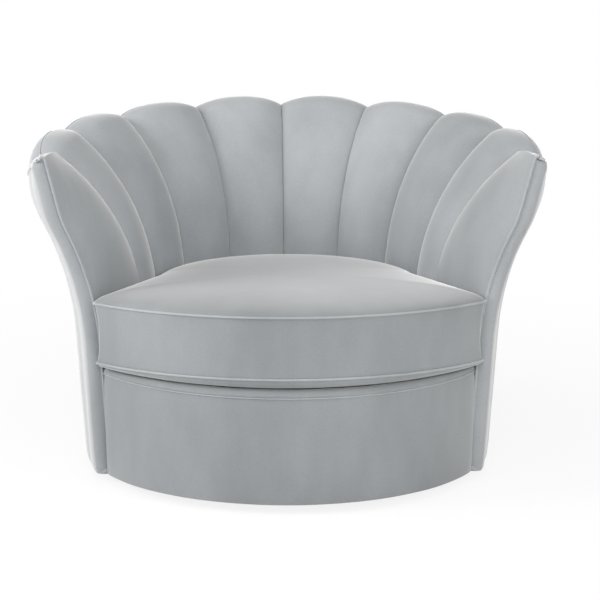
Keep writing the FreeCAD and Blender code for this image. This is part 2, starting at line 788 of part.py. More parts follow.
# Front of the drum: rail, posts, curved hardboard and the padded border over it.
def ring_sector(name, inner, outer, height, base, first, sweep):
    wedge = sector(f"{name}_wedge", outer, height, base, first, sweep)
    return cut(f"{name}_cut", wedge, cylinder(f"{name}_bore", inner, f"{height} + 2", f"{base} - 1"))


FRONT_MARGIN = 2
FRONT_START = f"({ARM_FRONT_ANGLE} + {FRONT_MARGIN})"
FRONT_SWEEP = f"(360 - 2 * {FRONT_START})"
RAIL_BASE = f"({DECK_BOTTOM} - ply)"
node(ring_sector("front_rail", FRONT_RAIL_INNER, f"{PANEL_RADIUS} - panel_thickness", "ply", RAIL_BASE,
                 FRONT_START, FRONT_SWEEP), "front_rail")
node(ring_sector("panel", f"{PANEL_RADIUS} - panel_thickness", PANEL_RADIUS, f"({DECK_BOTTOM} - {RING_TOP})",
                 RING_TOP, FRONT_START, FRONT_SWEEP), "front_panel")
FRONT_POST_REACH = f"(({SEAT_RING_OUTER} + {PANEL_RADIUS} - panel_thickness) / 2)"
FRONT_POST_ANGLES = (127, 153, 180, 207, 233)
node(group("front_post_group", [post(f"front_post_{angle}", angle, RING_TOP, FRONT_POST_REACH, RAIL_BASE,
                                     "front_post_depth")
                                for angle in FRONT_POST_ANGLES]), "front_posts")
BORDER_GAP = 1
border = revolved("border", [
    (f"{COVER_INSIDE} + clearance", FLOOR_GAP),
    ("base_radius - border_taper", FLOOR_GAP),
    ("base_radius", "deck_height - lip_radius"),
    ("base_radius - lip_radius", "deck_height", "lip_radius", 1),
    ("base_radius - lip_radius", f"{DECK_BOTTOM} + clearance"),
    (PANEL_RADIUS, f"{DECK_BOTTOM} + clearance"),
    (PANEL_RADIUS, RING_TOP),
    (f"{COVER_INSIDE} + clearance", RING_TOP),
], f"360 - 2 * ({ARM_FRONT_ANGLE} + {BORDER_GAP})")
node(border, "front_border", turned(180))

# Seat deck: a pad over the springs. It runs forward to the border's lip and under the arms' padding.
back_pivot = flare_pivot("(0)")
BACK_FOOT = f"({back_pivot[1]} + inside_flare_radius * sin(inside_lean))"
BACK_FOOT_RADIUS = f"({back_pivot[0]} - inside_flare_radius * cos(inside_lean))"
DECK_GAP = 1
DECK_ARM_MARGIN = 3
FOOT_LEAN = f"(({BACK_FOOT} - {DECK_BOTTOM}) * tan(inside_lean))"
DECK_RADIUS = f"({BACK_FOOT_RADIUS} - {FOOT_LEAN} + channel_backing - {DECK_GAP})"
ARM_START = f"({OUTER_SEAM} * channel_angle + {DECK_ARM_MARGIN})"
node(fuse("deck",
          cylinder("deck_back", DECK_RADIUS, "deck_thickness", DECK_BOTTOM),
          sector("deck_arms", f"{SEAT_RING_OUTER} - spring_seat", "deck_thickness", DECK_BOTTOM,
                 ARM_START, f"(360 - 2 * {ARM_START})"),
          sector("deck_front", "base_radius - lip_radius - clearance", "deck_thickness", DECK_BOTTOM,
                 FRONT_START, FRONT_SWEEP)), "seat_deck")


# Seat springs: zigzag wires from front to back, hooked in clips on the seat ring.
def spring(x):
    reach = sqrt(size(f"{SEAT_RING_INNER} + spring_seat") ** 2 - x**2)
    turns = 2 * round(2 * reach / size("spring_pitch"))
    half_wave = size("spring_wave") / 2
    path = [Vector(x + (-1) ** step * half_wave, -reach + 2 * reach * step / turns, 0)
            for step in range(turns + 1)]
    run = path[1] - path[0]
    aside = Vector(size("spring_wire") / 2 * run.Length / abs(run.y), 0, 0)
    ribbon = [spot - aside for spot in path] + [spot + aside for spot in reversed(path)]
    face = Part.Face(Part.makePolygon(ribbon + ribbon[:1]))
    return face.extrude(Vector(0, 0, size("spring_wire"))), reach


springs = []
clips = []
middle_spring = (int(size("spring_count")) - 1) / 2
for number in range(int(size("spring_count"))):
    spring_x = (number - middle_spring) * size("spring_spacing")
    wire, reach = spring(spring_x)
    springs.append(wire)
    for side in (-1, 1):
        clip_y = side * (reach - size("spring_seat / 2 - clip_lead"))
        clips.append(box(f"clip_{number}_{side + 1}", "spring_wave + 2 * clip_overhang", "spring_seat",
                         "clip_thickness", f"{spring_x}", f"{clip_y}", SEAT_RING_TOP))
SPRING_BASE = f"({SEAT_RING_TOP} + clip_thickness)"
solid("seat_springs", Part.makeCompound(springs), Placement(Vector(0, 0, size(SPRING_BASE)), Rotation()))
node(group("clip_group", clips), "spring_clips")


# Welts: one up the front edge of each arm, and one along the rim where the rolled channels end.
WELT_SIDES = 6
WELT_STEP = 30
WELT_BEND = 0.3


def tube(edges, radius):
    """A thin cord along a row of lines and arcs: short straight lengths with a six-sided section."""
    stations = []
    for edge in edges:
        bend = (edge.tangentAt(edge.FirstParameter).getAngle(edge.tangentAt(edge.LastParameter)))
        count = max(1, ceil(edge.Length / WELT_STEP), ceil(bend / WELT_BEND))
        first = 0 if edge is edges[0] else 1
        for step in range(first, count + 1):
            place = edge.FirstParameter + (edge.LastParameter - edge.FirstParameter) * step / count
            stations.append((edge.valueAt(place), edge.tangentAt(place)))
    sections = []
    for spot, along in stations:
        aside = along.cross(Vector(0, 0, 1) if abs(along.z) < 0.7 else Vector(1, 0, 0)).normalize()
        up = aside.cross(along).normalize()
        turns = [2 * pi * side / WELT_SIDES for side in range(WELT_SIDES + 1)]
        corners = [spot + aside * (radius * cos(turn)) + up * (radius * sin(turn)) for turn in turns]
        sections.append(Part.makePolygon(corners[:-1] + corners[:1]))
    return Part.makeLoft(sections, True, True)


def arm_welt():
    """The right arm's welt, in front of the facing's inner edge."""
    away = size(ARM_FRONT_ANGLE)
    inset = size("welt_inset")
    ahead = Vector(cos(radians(away)), -sin(radians(away)), 0) * size("welt_radius + clearance")

    def spot(height):
        return at(away, cover_radius(height, inset), height) + ahead

    lean = radians(size("wall_batter"))
    flare = radians(size("flare_slope"))
    wall_top = size(WALL_TOP) + inset * sin(lean)
    curve_top = size(CURVE_TOP) + inset * sin(flare)
    top = size(ARM_FRONT_HEIGHT) - inset
    edges = [Part.makeLine(spot(size(FLOOR_GAP)), spot(wall_top)),
             Part.Arc(spot(wall_top), spot((wall_top + curve_top) / 2), spot(curve_top)).toShape(),
             Part.Arc(spot(curve_top), spot((curve_top + top) / 2), spot(top)).toShape()]
    return tube(edges, size("welt_radius"))


right_welt = arm_welt()
solid("arm_welt_right", right_welt)
solid("arm_welt_left", right_welt.mirror(Vector(), Vector(1, 0, 0)))


def cover_edge(radius, rise, middle_height, first, last):
    """An arc round the chair on a tilted plane that rises toward the back."""
    middle = Vector(0, 0, middle_height)
    ellipse = Part.Ellipse(Vector(0, radius, middle_height + rise * radius),
                           Vector(radius, 0, middle_height), middle)
    return Part.ArcOfEllipse(ellipse, radians(first), radians(last)).toShape()


def rim_welt(first, last, rise, level):
    """A stretch of the rim's welt. Level is the height of its plane beside the chair's axis."""
    radius = size(f"{WIDEST_RADIUS} + welt_radius + clearance")
    return tube([cover_edge(radius, rise, level, first, last)], size("welt_radius"))


WELT_GAP = 0.4
outer_seam = seam_angle(OUTER_SEAM)
arm_rise = size(EDGE_RISE)
rise = size(f"rim_fall / {WIDEST_RADIUS}")
back_level = size(f"{CUT_TOP} - rim_fall - rim_welt_drop")
arm_level = size(f"{ARM_CUT_HEIGHT} - rim_welt_drop") + arm_rise * size(ARM_CUT_Y)
solid("rim_welt_back", rim_welt(WELT_GAP - outer_seam, outer_seam - WELT_GAP, rise, back_level))
arm_end = size(ARM_FRONT_ANGLE) - WELT_GAP
right_rim = rim_welt(outer_seam, arm_end, -arm_rise, arm_level)
solid("rim_welt_right", right_rim)
solid("rim_welt_left", right_rim.mirror(Vector(), Vector(1, 0, 0)))


# Loose seat cushion: boxed, with a crown above and below its two seams and sides drawn in between.
def seam_radius(angle, height):
    """Radius of the inside of the back at a seam, from the deck up through the flare."""
    lean = size("inside_lean")
    foot = seam_point(angle, lean)[0]
    if height <= foot.z:
        return hypot(foot.x, foot.y) - (foot.z - height) * tan(radians(lean))
    bend = size("inside_flare_radius")
    turn = asin(sin(radians(lean)) + (height - foot.z) / bend)
    return hypot(foot.x, foot.y) + bend * (cos(radians(lean)) - cos(turn))


def cushion_outline(height, inset):
    """The cushion's outline at a height: it fills the seat as far as its clearance and this inset."""
    margin = size("cushion_clearance + 2 * piping_radius + piping_gap") + inset
    half = radians(size("channel_angle") / 2)
    reaches = []
    for number in range(OUTER_SEAM):
        seam = (seam_radius(seam_angle(number), height) + seam_radius(seam_angle(number + 1), height)) / 2
        foot = seam_point(seam_angle(number + 1), size("inside_lean"))[0].z
        risen = min(1, max(0, (height - CHANNEL_FOOT) / (foot - CHANNEL_FOOT)))
        share = FOOT_SHARE + (1 - FOOT_SHARE) * risen
        bulge = size("channel_bulge") * share * 2 * seam * sin(half) / RIM_CHORD
        reaches.append(seam * cos(half) - bulge)
    back_radius = min(reaches) - margin
    # the arm's padding runs from its rear seam to its front edge, and the cushion's side lies along it
    front = at(size(ARM_FRONT_ANGLE), cover_radius(height) - size("welt_inset"), height)
    arm = at(seam_angle(OUTER_SEAM), seam_radius(seam_angle(OUTER_SEAM), height), height)
    along = (front - arm).normalize()
    front = front + Vector(along.y, -along.x, 0) * (margin + size("channel_bulge") * FOOT_SHARE)
    reach = size("cushion_front_radius") - inset
    middle = front - along * (front.x * along.x + front.y * along.y)
    aside = hypot(middle.x, middle.y)
    rear = middle + along * sqrt(max(0, back_radius**2 - aside**2))
    corner = middle + along * sqrt(reach**2 - aside**2)
    rounding = size("corner_rounding")
    turn = rounding / reach
    on_side = corner - along * rounding
    corner_angle = degrees(atan2(corner.x, corner.y))
    on_front = at(corner_angle + degrees(turn), reach, height)
    inward = ((on_side - corner) + (on_front - corner)).normalize()
    half_corner = acos((on_side - corner).normalize().dot(inward))
    pull = rounding / cos(half_corner) - rounding * tan(half_corner)
    rounded = corner + inward * pull
    mirrored = [Vector(-spot.x, spot.y, height) for spot in (rear, on_side, rounded, on_front)]
    return Part.Wire([
        Part.Arc(mirrored[3], at(180, reach, height), on_front).toShape(),
        Part.Arc(on_front, rounded, on_side).toShape(),
        Part.makeLine(on_side, rear),
        Part.Arc(rear, at(0, back_radius, height), mirrored[0]).toShape(),
        Part.makeLine(mirrored[0], mirrored[1]),
        Part.Arc(mirrored[1], mirrored[2], mirrored[3]).toShape(),
    ])


# Levels of the cushion below, between and above its two seams: how far up each lies there, and how
# many times the waist's depth it is drawn in. The inside needs only the ends.
UNDER_LEVELS = ((0, 9), (0.4, 2.5), (1, 0))
SIDE_LEVELS = ((0.5, 1), (1, 0))
CROWN_LEVELS = ((0.4, 1.5), (0.75, 5), (1, 16))


def cushion_form(shrink):
    """The cushion, or its inside at this depth."""
    low = size("cushion_low_seam")
    high = size("cushion_high_seam")
    foot = size("deck_height + clearance")
    top = size("cushion_crown")
    waist = size("cushion_waist")
    under = (UNDER_LEVELS[0], UNDER_LEVELS[-1]) if shrink else UNDER_LEVELS
    crown = CROWN_LEVELS[-1:] if shrink else CROWN_LEVELS
    levels = [(foot + (low - foot) * rise, waist * draw) for rise, draw in under]
    levels += [(low + (high - low) * rise, waist * draw) for rise, draw in SIDE_LEVELS]
    levels += [(high + (top - high) * rise, waist * draw) for rise, draw in crown]
    middle = (foot + top) / 2
    squeeze = 1 - 2 * shrink / (top - foot)
    sections = [cushion_outline(middle + (height - middle) * squeeze, inset + shrink)
                for height, inset in levels]
    return Part.makeLoft(sections, True, True)


cushion_outside = cushion_form(0)
wall = size("cushion_wall")
solid("cushion_cover", cushion_outside.cut(cushion_form(wall)))
solid("cushion_core", cushion_form(wall + size("clearance")))


PIPING_JOIN = 0.5


def cushion_piping(height):
    """Piping round a seam of the cushion, lying against its outside, with its ends met at the back."""
    radius = size("piping_radius")
    outline_edges = cushion_outline(height, -size("piping_radius + piping_gap")).Edges
    front, right_corner, right, back, left, left_corner = outline_edges
    join = PIPING_JOIN / back.Curve.Radius
    opened = Part.Edge(back.Curve, back.FirstParameter + join, back.LastParameter)
    return tube([opened, left, left_corner, front, right_corner, right], radius)


solid("cushion_piping_top", cushion_piping(size("cushion_high_seam")))
solid("cushion_piping_bottom", cushion_piping(size("cushion_low_seam")))

doc.recompute()
os.makedirs("parts", exist_ok=True)
for item in doc.Objects:
    if "Invalid" in item.State or "Error" in item.State:
        raise RuntimeError(f"{item.Name} failed")
for name, item in NODES.items():
    if item.Shape.isNull() or not item.Shape.isValid() or not item.Shape.Solids:
        raise RuntimeError(f"{name} is not a valid solid")
for name, item in NODES.items():
    item.Shape.exportStep(f"parts/{name}.step")
print(f"{len(NODES)} nodes written")
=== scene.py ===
"""The looks of a round swivel cuddle chair in pale grey velvet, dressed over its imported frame."""

import math
import bpy
from mathutils import Matrix, Vector, noise


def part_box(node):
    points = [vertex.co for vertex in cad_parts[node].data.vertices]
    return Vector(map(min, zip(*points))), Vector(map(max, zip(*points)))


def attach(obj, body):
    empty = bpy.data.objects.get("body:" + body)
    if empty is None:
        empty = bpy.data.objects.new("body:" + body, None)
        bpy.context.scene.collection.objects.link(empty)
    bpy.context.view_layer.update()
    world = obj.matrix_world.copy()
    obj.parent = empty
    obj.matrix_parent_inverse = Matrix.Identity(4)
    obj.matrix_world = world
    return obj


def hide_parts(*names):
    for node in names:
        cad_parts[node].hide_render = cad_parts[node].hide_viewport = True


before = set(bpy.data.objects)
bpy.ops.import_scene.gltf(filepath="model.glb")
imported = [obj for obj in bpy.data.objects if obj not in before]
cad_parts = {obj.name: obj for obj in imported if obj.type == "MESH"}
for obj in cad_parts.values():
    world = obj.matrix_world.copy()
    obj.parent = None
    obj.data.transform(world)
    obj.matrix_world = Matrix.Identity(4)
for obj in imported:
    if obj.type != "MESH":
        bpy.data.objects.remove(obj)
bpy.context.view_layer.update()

# Floor pads and base disc.
# Pressed felt glides under a plywood disc that stays still while the chair turns. Each board is cut
# from laminated sheet, so its edge shows layers and its face a long grain.
FELT = (0.045, 0.046, 0.050)
PLY_LIGHT = (0.60, 0.42, 0.24)
PLY_DARK = (0.42, 0.26, 0.13)
PLY_GRAIN = (14, 1.2, 1.2)
PLY_LAYER_SCALE = 105


def new_finish(name, colour, roughness, metallic=0.0):
    """A material with its even values set on the shader itself."""
    material = bpy.data.materials.new(name)
    material.use_nodes = True
    shader = material.node_tree.nodes["Principled BSDF"]
    shader.inputs["Base Color"].default_value = (*colour, 1)
    shader.inputs["Roughness"].default_value = roughness
    shader.inputs["Metallic"].default_value = metallic
    return material


def speckle(material, scale, stretch=(1, 1, 1), detail=4.0):
    """A noise pattern on the piece's own coordinates, stretched along one of them if asked."""
    nodes = material.node_tree.nodes
    links = material.node_tree.links
    spot = nodes.new("ShaderNodeTexCoord")
    mapping = nodes.new("ShaderNodeMapping")
    mapping.inputs["Scale"].default_value = stretch
    pattern = nodes.new("ShaderNodeTexNoise")
    pattern.inputs["Scale"].default_value = scale
    pattern.inputs["Detail"].default_value = detail
    links.new(spot.outputs["Object"], mapping.inputs["Vector"])
    links.new(mapping.outputs["Vector"], pattern.inputs["Vector"])
    return pattern.outputs["Fac"]


def shade(material, pattern, dark, light, start=0.3, end=0.7, under=None):
    """Colours the piece from dark to light by a pattern, over an earlier colour if one is given."""
    nodes = material.node_tree.nodes
    links = material.node_tree.links
    ramp = nodes.new("ShaderNodeValToRGB")
    ramp.color_ramp.elements[0].position = start
    ramp.color_ramp.elements[0].color = (*dark, 1)
    ramp.color_ramp.elements[1].position = end
    ramp.color_ramp.elements[1].color = (*light, 1)
    links.new(pattern, ramp.inputs["Fac"])
    colour = ramp.outputs["Color"]
    if under:
        mix = nodes.new("ShaderNodeMix")
        mix.data_type = "RGBA"
        mix.blend_type = "MULTIPLY"
        mix.inputs["Factor"].default_value = 1
        links.new(under, mix.inputs["A"])
        links.new(colour, mix.inputs["B"])
        colour = mix.outputs["Result"]
    links.new(colour, nodes["Principled BSDF"].inputs["Base Color"])
    return colour


def relief(material, pattern, strength, depth, over=None):
    """Raises the pattern from the surface by a depth in metres, over an earlier relief if given."""
    bump = material.node_tree.nodes.new("ShaderNodeBump")
    bump.inputs["Strength"].default_value = strength
    bump.inputs["Distance"].default_value = depth
    material.node_tree.links.new(pattern, bump.inputs["Height"])
    if over:
        material.node_tree.links.new(over, bump.inputs["Normal"])
    shader = material.node_tree.nodes["Principled BSDF"]
    material.node_tree.links.new(bump.outputs["Normal"], shader.inputs["Normal"])
    return bump.outputs["Normal"]


def plywood_finish(name, layers):
    """Laminated board. The layers run across the given direction, at 1.5 mm each."""
    material = new_finish(name, PLY_LIGHT, 0.62)
    nodes = material.node_tree.nodes
    links = material.node_tree.links
    colour = shade(material, speckle(material, 9, PLY_GRAIN), PLY_DARK, PLY_LIGHT, 0.25, 0.6)
    spot = nodes.new("ShaderNodeTexCoord")
    bands = nodes.new("ShaderNodeTexWave")
    bands.bands_direction = layers
    bands.inputs["Scale"].default_value = PLY_LAYER_SCALE
    bands.inputs["Distortion"].default_value = 0.3
    links.new(spot.outputs["Object"], bands.inputs["Vector"])
    shade(material, bands.outputs["Fac"], (0.72, 0.66, 0.60), (1, 1, 1), 0.2, 0.5, under=colour)
    relief(material, speckle(material, 60, PLY_GRAIN), 0.25, 0.0004)
    return material


def dress(node, material):
    """Gives a CAD node that keeps its shape its real finish."""
    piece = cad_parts[node]
    piece.data.materials.clear()
    piece.data.materials.append(material)


felt = new_finish("pressed_felt", FELT, 0.95)
shade(felt, speckle(felt, 700), (0.03, 0.03, 0.034), (0.075, 0.076, 0.08))
relief(felt, speckle(felt, 500), 0.5, 0.0004)
dress("floor_pads", felt)
flat_ply = plywood_finish("plywood_laid_flat", "Z")
dress("base_disc", flat_ply)

# Swivel.
# Two zinc-plated steel plates with a pressed race between them, polished balls in a moulded cage,
# and blackened bolts. The plates are stamped, so their plating is faintly cloudy.
plate_steel = new_finish("zinc_plate", (0.55, 0.56, 0.58), 0.38, 1.0)
shade(plate_steel, speckle(plate_steel, 26), (0.46, 0.47, 0.50), (0.64, 0.65, 0.66))
relief(plate_steel, speckle(plate_steel, 300, (1, 8, 1)), 0.12, 0.0002)
for node in ("swivel_lower_plate", "swivel_upper_plate"):
    dress(node, plate_steel)
bolt_steel = new_finish("blackened_bolt", (0.09, 0.09, 0.095), 0.45, 0.9)
shade(bolt_steel, speckle(bolt_steel, 240), (0.06, 0.06, 0.065), (0.13, 0.13, 0.135))
for node in ("lower_plate_screws", "upper_plate_bolts"):
    dress(node, bolt_steel)
ball_steel = new_finish("ball_steel", (0.72, 0.72, 0.74), 0.12, 1.0)
shade(ball_steel, speckle(ball_steel, 120), (0.66, 0.66, 0.68), (0.78, 0.78, 0.80))
dress("swivel_balls", ball_steel)
cage_plastic = new_finish("cage_plastic", (0.70, 0.68, 0.60), 0.5)
shade(cage_plastic, speckle(cage_plastic, 90), (0.64, 0.62, 0.54), (0.74, 0.72, 0.65))
relief(cage_plastic, speckle(cage_plastic, 900), 0.15, 0.0002)
dress("ball_cage", cage_plastic)

# Wooden frame.
# Plywood rings, ribs, rail and posts, glued and stapled together. Ribs stand on edge, so their
# layers run across the chair, and the curved front panel is dark hardboard.
for node in ("swivel_board", "base_ring", "seat_ring", "front_rail", "top_rail"):
    dress(node, flat_ply)
upright_ply = plywood_finish("plywood_on_edge", "X")
for node in ("seat_posts", "front_posts", "back_ribs", "arm_posts"):
    dress(node, upright_ply)
hardboard = new_finish("hardboard", (0.19, 0.105, 0.055), 0.58)
shade(hardboard, speckle(hardboard, 420), (0.14, 0.075, 0.04), (0.25, 0.145, 0.08))
relief(hardboard, speckle(hardboard, 260), 0.3, 0.0004)
dress("front_panel", hardboard)

# Seat springs and clips.
# Zigzag spring wire, oil-dark, hooked into moulded clips on the seat ring.
spring_steel = new_finish("spring_wire", (0.14, 0.14, 0.15), 0.35, 1.0)
shade(spring_steel, speckle(spring_steel, 180), (0.09, 0.09, 0.095), (0.2, 0.2, 0.21))
dress("seat_springs", spring_steel)
clip_plastic = new_finish("clip_plastic", (0.02, 0.02, 0.022), 0.5)
shade(clip_plastic, speckle(clip_plastic, 260), (0.014, 0.014, 0.016), (0.03, 0.03, 0.033))
dress("spring_clips", clip_plastic)

# Dust cover.
# A ring of black spun cloth stapled under the base ring. It hangs a little between its staples.
DUST_CLOTH = (0.018, 0.018, 0.020)
DUST_INNER_RADIUS = 0.292
DUST_THICKNESS = 0.0006
DUST_SAG = 0.0015
DUST_COLUMNS = 288
DUST_ROWS = 8
STAPLES = 48
SMOOTH_ANGLE = math.radians(50)


def choose(piece):
    """Selects this piece and no other."""
    bpy.ops.object.select_all(action="DESELECT")
    piece.select_set(True)
    bpy.context.view_layer.objects.active = piece


def merge_doubles(distance):
    """Joins the corners of the active piece that lie closer than this."""
    bpy.ops.object.mode_set(mode="EDIT")
    bpy.ops.mesh.select_all(action="SELECT")
    bpy.ops.mesh.remove_doubles(threshold=distance)
    bpy.ops.object.mode_set(mode="OBJECT")


def laid_grid(name, columns, rows, place, closed=False):
    """A grid sheet with each corner of its mesh put in place by a rule of its column and row."""
    bpy.ops.object.select_all(action="DESELECT")
    bpy.ops.mesh.primitive_grid_add(x_subdivisions=columns, y_subdivisions=rows, size=2)
    piece = bpy.context.active_object
    piece.name = name
    piece.data.name = name
    for vertex in piece.data.vertices:
        column = round((vertex.co.x + 1) / 2 * columns)
        row = round((vertex.co.y + 1) / 2 * rows)
        vertex.co = place(column, row)
    if closed:
        merge_doubles(1e-6)
    return piece


def wrapped(piece, thickness):
    """Gives a sheet its thickness, behind its face, and smooths its shading."""
    choose(piece)
    wall = piece.modifiers.new("wall", "SOLIDIFY")
    wall.thickness = thickness
    wall.offset = -1
    wall.use_even_offset = False
    bpy.ops.object.modifier_apply(modifier=wall.name)
    bpy.ops.object.shade_smooth_by_angle(angle=SMOOTH_ANGLE)


def cover(piece, material, slot, body, *nodes):
    """Finishes a piece of upholstery, and fixes it to its body in the place of its CAD nodes."""
    piece.data.materials.clear()
    piece.data.materials.append(material)
    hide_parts(*nodes)
    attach(piece, body)


def at(angle, radius, height):
    """The point at an angle from the middle of the back, a radius and a height."""
    return Vector((radius * math.sin(angle), radius * math.cos(angle), height))


dust_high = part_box("dust_cover")[1]


def dust_place(column, row):
    """A point of the dust cover, which sags most halfway between two staples."""
    angle = 2 * math.pi * column / DUST_COLUMNS
    share = row / DUST_ROWS
    sag = DUST_SAG * math.sin(math.pi * share) * (0.6 + 0.4 * math.cos(STAPLES * angle))
    radius = DUST_INNER_RADIUS + (dust_high.x - DUST_INNER_RADIUS) * share
    return at(angle, radius, dust_high.z - DUST_THICKNESS - sag)


dust_cloth = new_finish("spun_dust_cloth", DUST_CLOTH, 0.9)
shade(dust_cloth, speckle(dust_cloth, 1100), (0.012, 0.012, 0.013), (0.035, 0.035, 0.037))
relief(dust_cloth, speckle(dust_cloth, 800), 0.5, 0.0003)
dust_sheet = laid_grid("dust_cloth", DUST_COLUMNS, DUST_ROWS, dust_place, closed=True)
wrapped(dust_sheet, DUST_THICKNESS)
cover(dust_sheet, dust_cloth, "dust_cloth", "chair", "dust_cover")

# Velvet.
# One pale cool grey velvet covers the whole chair. Its short pile catches light at a slant and lies
# in soft clouds where it has been brushed. The cushion and the front border take a darker copy of
# it, as painted shade, the petals of the back a lighter copy, as painted light, and the piping a
# lighter copy, as a painted highlight.
VELVET_DARK = (0.270, 0.284, 0.293)
VELVET_LIGHT = (0.360, 0.376, 0.385)


def velvet_finish(name, painted_light_factor):
    """Velvet in brushed clouds over a fine nap, made lighter or darker by a factor that paints
    light or shade.
    """
    material = new_finish(name, VELVET_LIGHT, 0.78)
    shader = material.node_tree.nodes["Principled BSDF"]
    shader.inputs["Specular IOR Level"].default_value = 0.18
    shader.inputs["Sheen Weight"].default_value = 0.9
    shader.inputs["Sheen Roughness"].default_value = 0.36
    shader.inputs["Sheen Tint"].default_value = (1.0, 0.99, 0.985, 1)
    dark = [painted_light_factor * part for part in VELVET_DARK]
    light = [painted_light_factor * part for part in VELVET_LIGHT]
    clouds = shade(material, speckle(material, 3.2, (1, 1, 0.55), 2.5), dark, light, 0.3, 0.68)
    nap = shade(material, speckle(material, 620, detail=2), (0.90, 0.90, 0.90), (1.06, 1.06, 1.06),
                0.3, 0.7, under=clouds)
    brushed = speckle(material, 26, (1, 1, 0.4), 3)
    shade(material, brushed, (0.955, 0.955, 0.957), (1.02, 1.02, 1.02), 0.3, 0.7, under=nap)
    nap_relief = relief(material, speckle(material, 900, detail=2), 0.22, 0.0004)
    relief(material, speckle(material, 14, (1, 1, 0.6), 2), 0.10, 0.004, over=nap_relief)
    return material


velvet = velvet_finish("grey_velvet", 1.0)
# A lighter copy of the velvet for the petals of the back: painted light.
painted_light_velvet = velvet_finish("grey_velvet_painted_light", 1.12)
# A darker copy of the velvet for the front border and the cushion: painted shade.
painted_shade_velvet = velvet_finish("grey_velvet_painted_shade", 0.80)
# A lighter copy of the velvet for the piping: a painted highlight.
painted_highlight_piping_velvet = velvet_finish("grey_velvet_piping_painted_highlight", 1.08)

# Back channels.
# Ten petals of velvet round the inside of the back, each sewn down both sides and stuffed. A petal
# rises from behind the cushion, flares outward and rolls over the rim onto the chair's outside.
CHANNEL_ANGLE = math.radians(23.6)
OUTER_SEAM = 4
BACK_PETALS = 2 * OUTER_SEAM
ARM_FRONT = (OUTER_SEAM + 1) * CHANNEL_ANGLE
BASE_RADIUS = 0.457
FLOOR_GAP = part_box("outside_back")[0].z
BATTER = math.radians(3.4)
WAIST_RADIUS = 0.646
FLARE = math.radians(27)
SHOULDER_RADIUS = 0.264
SHOULDER_HEIGHT = 0.675
CURVE_TOP = SHOULDER_HEIGHT - SHOULDER_RADIUS * math.sin(FLARE)
WALL_TOP = CURVE_TOP - WAIST_RADIUS * (math.sin(FLARE) - math.sin(BATTER))
WALL_TOP_RADIUS = BASE_RADIUS + (WALL_TOP - FLOOR_GAP) * math.tan(BATTER)
CURVE_TOP_RADIUS = WALL_TOP_RADIUS + WAIST_RADIUS * (math.cos(BATTER) - math.cos(FLARE))
WIDEST_RADIUS = CURVE_TOP_RADIUS + SHOULDER_RADIUS * (1 - math.cos(FLARE))
RIM_HEIGHT = 0.757
RIM_FALL = 0.053
RIM_ROLL = 0.042
LEAN = math.radians(8)
INNER_BEND = 0.448
FLARE_END = math.radians(53)
CHANNEL_FOOT = 0.2623
CHANNEL_BULGE = 0.030
CHANNEL_ROUNDNESS = (2.3, 0.88)
PETAL_WALL = 0.008
PETAL_SEED_STEP = 7.3
PUCKER = 0.0011
PUCKER_SCALE = 38
PUCKER_REACH = 0.022
SWELL = 0.0016
SWELL_SCALE = 7
RIM_CHORD = 2 * (WIDEST_RADIUS - RIM_ROLL) * math.sin(CHANNEL_ANGLE / 2)
FOOT_SHARE = 0.15
CREST_SHARE = 0.86
END_SHARE = 0.30
SEAM_GAP = 0.0006
SEAM_DEPTH = 0.010
FOOT_ROWS = 22
FLARE_ROWS = 44
ROLL_ROWS = 34
CHANNEL_ROWS = FOOT_ROWS + FLARE_ROWS + ROLL_ROWS
FACE_COLUMNS = 44
TUCK_COLUMNS = 3
CHANNEL_COLUMNS = FACE_COLUMNS + 2 * TUCK_COLUMNS


def rim_at(angle):
    """Height of the rim's seams: the rim lies in a plane tilted toward the front."""
    return RIM_HEIGHT - RIM_FALL * (1 - math.cos(angle))


def cover_radius(height, inset=0.0):
    """Radius of the outside cover, or of a surface this far inside it."""
    if height > CURVE_TOP:
        across = (SHOULDER_RADIUS - inset) ** 2 - (height - SHOULDER_HEIGHT) ** 2
        return WIDEST_RADIUS - SHOULDER_RADIUS + math.sqrt(across)
    if height > WALL_TOP:
        rise = height - WALL_TOP + WAIST_RADIUS * math.sin(BATTER)
        centre = WALL_TOP_RADIUS + WAIST_RADIUS * math.cos(BATTER)
        return centre - math.sqrt((WAIST_RADIUS + inset) ** 2 - rise ** 2)
    return WALL_TOP_RADIUS - (WALL_TOP - height) * math.tan(BATTER) - inset / math.cos(BATTER)


def seam_spot(angle, slope, height=None):
    """A point of a seam, and the way it faces. The slope runs from straight up, inside, to straight
    down, outside."""
    centre_height = rim_at(angle) - RIM_ROLL
    centre_radius = cover_radius(centre_height) - RIM_ROLL
    facing = (-math.cos(slope), math.sin(slope))
    if slope > FLARE_END:
        radius = centre_radius - RIM_ROLL * math.cos(slope)
        rise = centre_height + RIM_ROLL * math.sin(slope)
    else:
        radius = (centre_radius - RIM_ROLL * math.cos(FLARE_END)
                  - INNER_BEND * (math.cos(slope) - math.cos(FLARE_END)))
        rise = (centre_height + RIM_ROLL * math.sin(FLARE_END)
                - INNER_BEND * (math.sin(FLARE_END) - math.sin(slope)))
    if height is not None:
        radius -= (rise - height) * math.tan(LEAN)
        rise = height
        facing = (-1, 0)
    return at(angle, radius, rise), at(angle, facing[0], facing[1])


def channel_row(row):
    """A row's slope, how far it has risen from the foot to the flare, and how full the petal is."""
    if row <= FOOT_ROWS:
        risen = row / FOOT_ROWS
        return LEAN, risen, FOOT_SHARE + (1 - FOOT_SHARE) * risen
    if row <= FOOT_ROWS + FLARE_ROWS:
        return LEAN + (FLARE_END - LEAN) * (row - FOOT_ROWS) / FLARE_ROWS, 1, 1
    slope = FLARE_END + (math.pi - FLARE_END) * (row - FOOT_ROWS - FLARE_ROWS) / ROLL_ROWS
    past = max(0, slope / (math.pi / 2) - 1)
    risen = min(1, (slope - FLARE_END) / (math.pi / 2 - FLARE_END))
    return slope, 1, (1 - (1 - CREST_SHARE) * risen) * (1 - (1 - END_SHARE) * past ** 2)


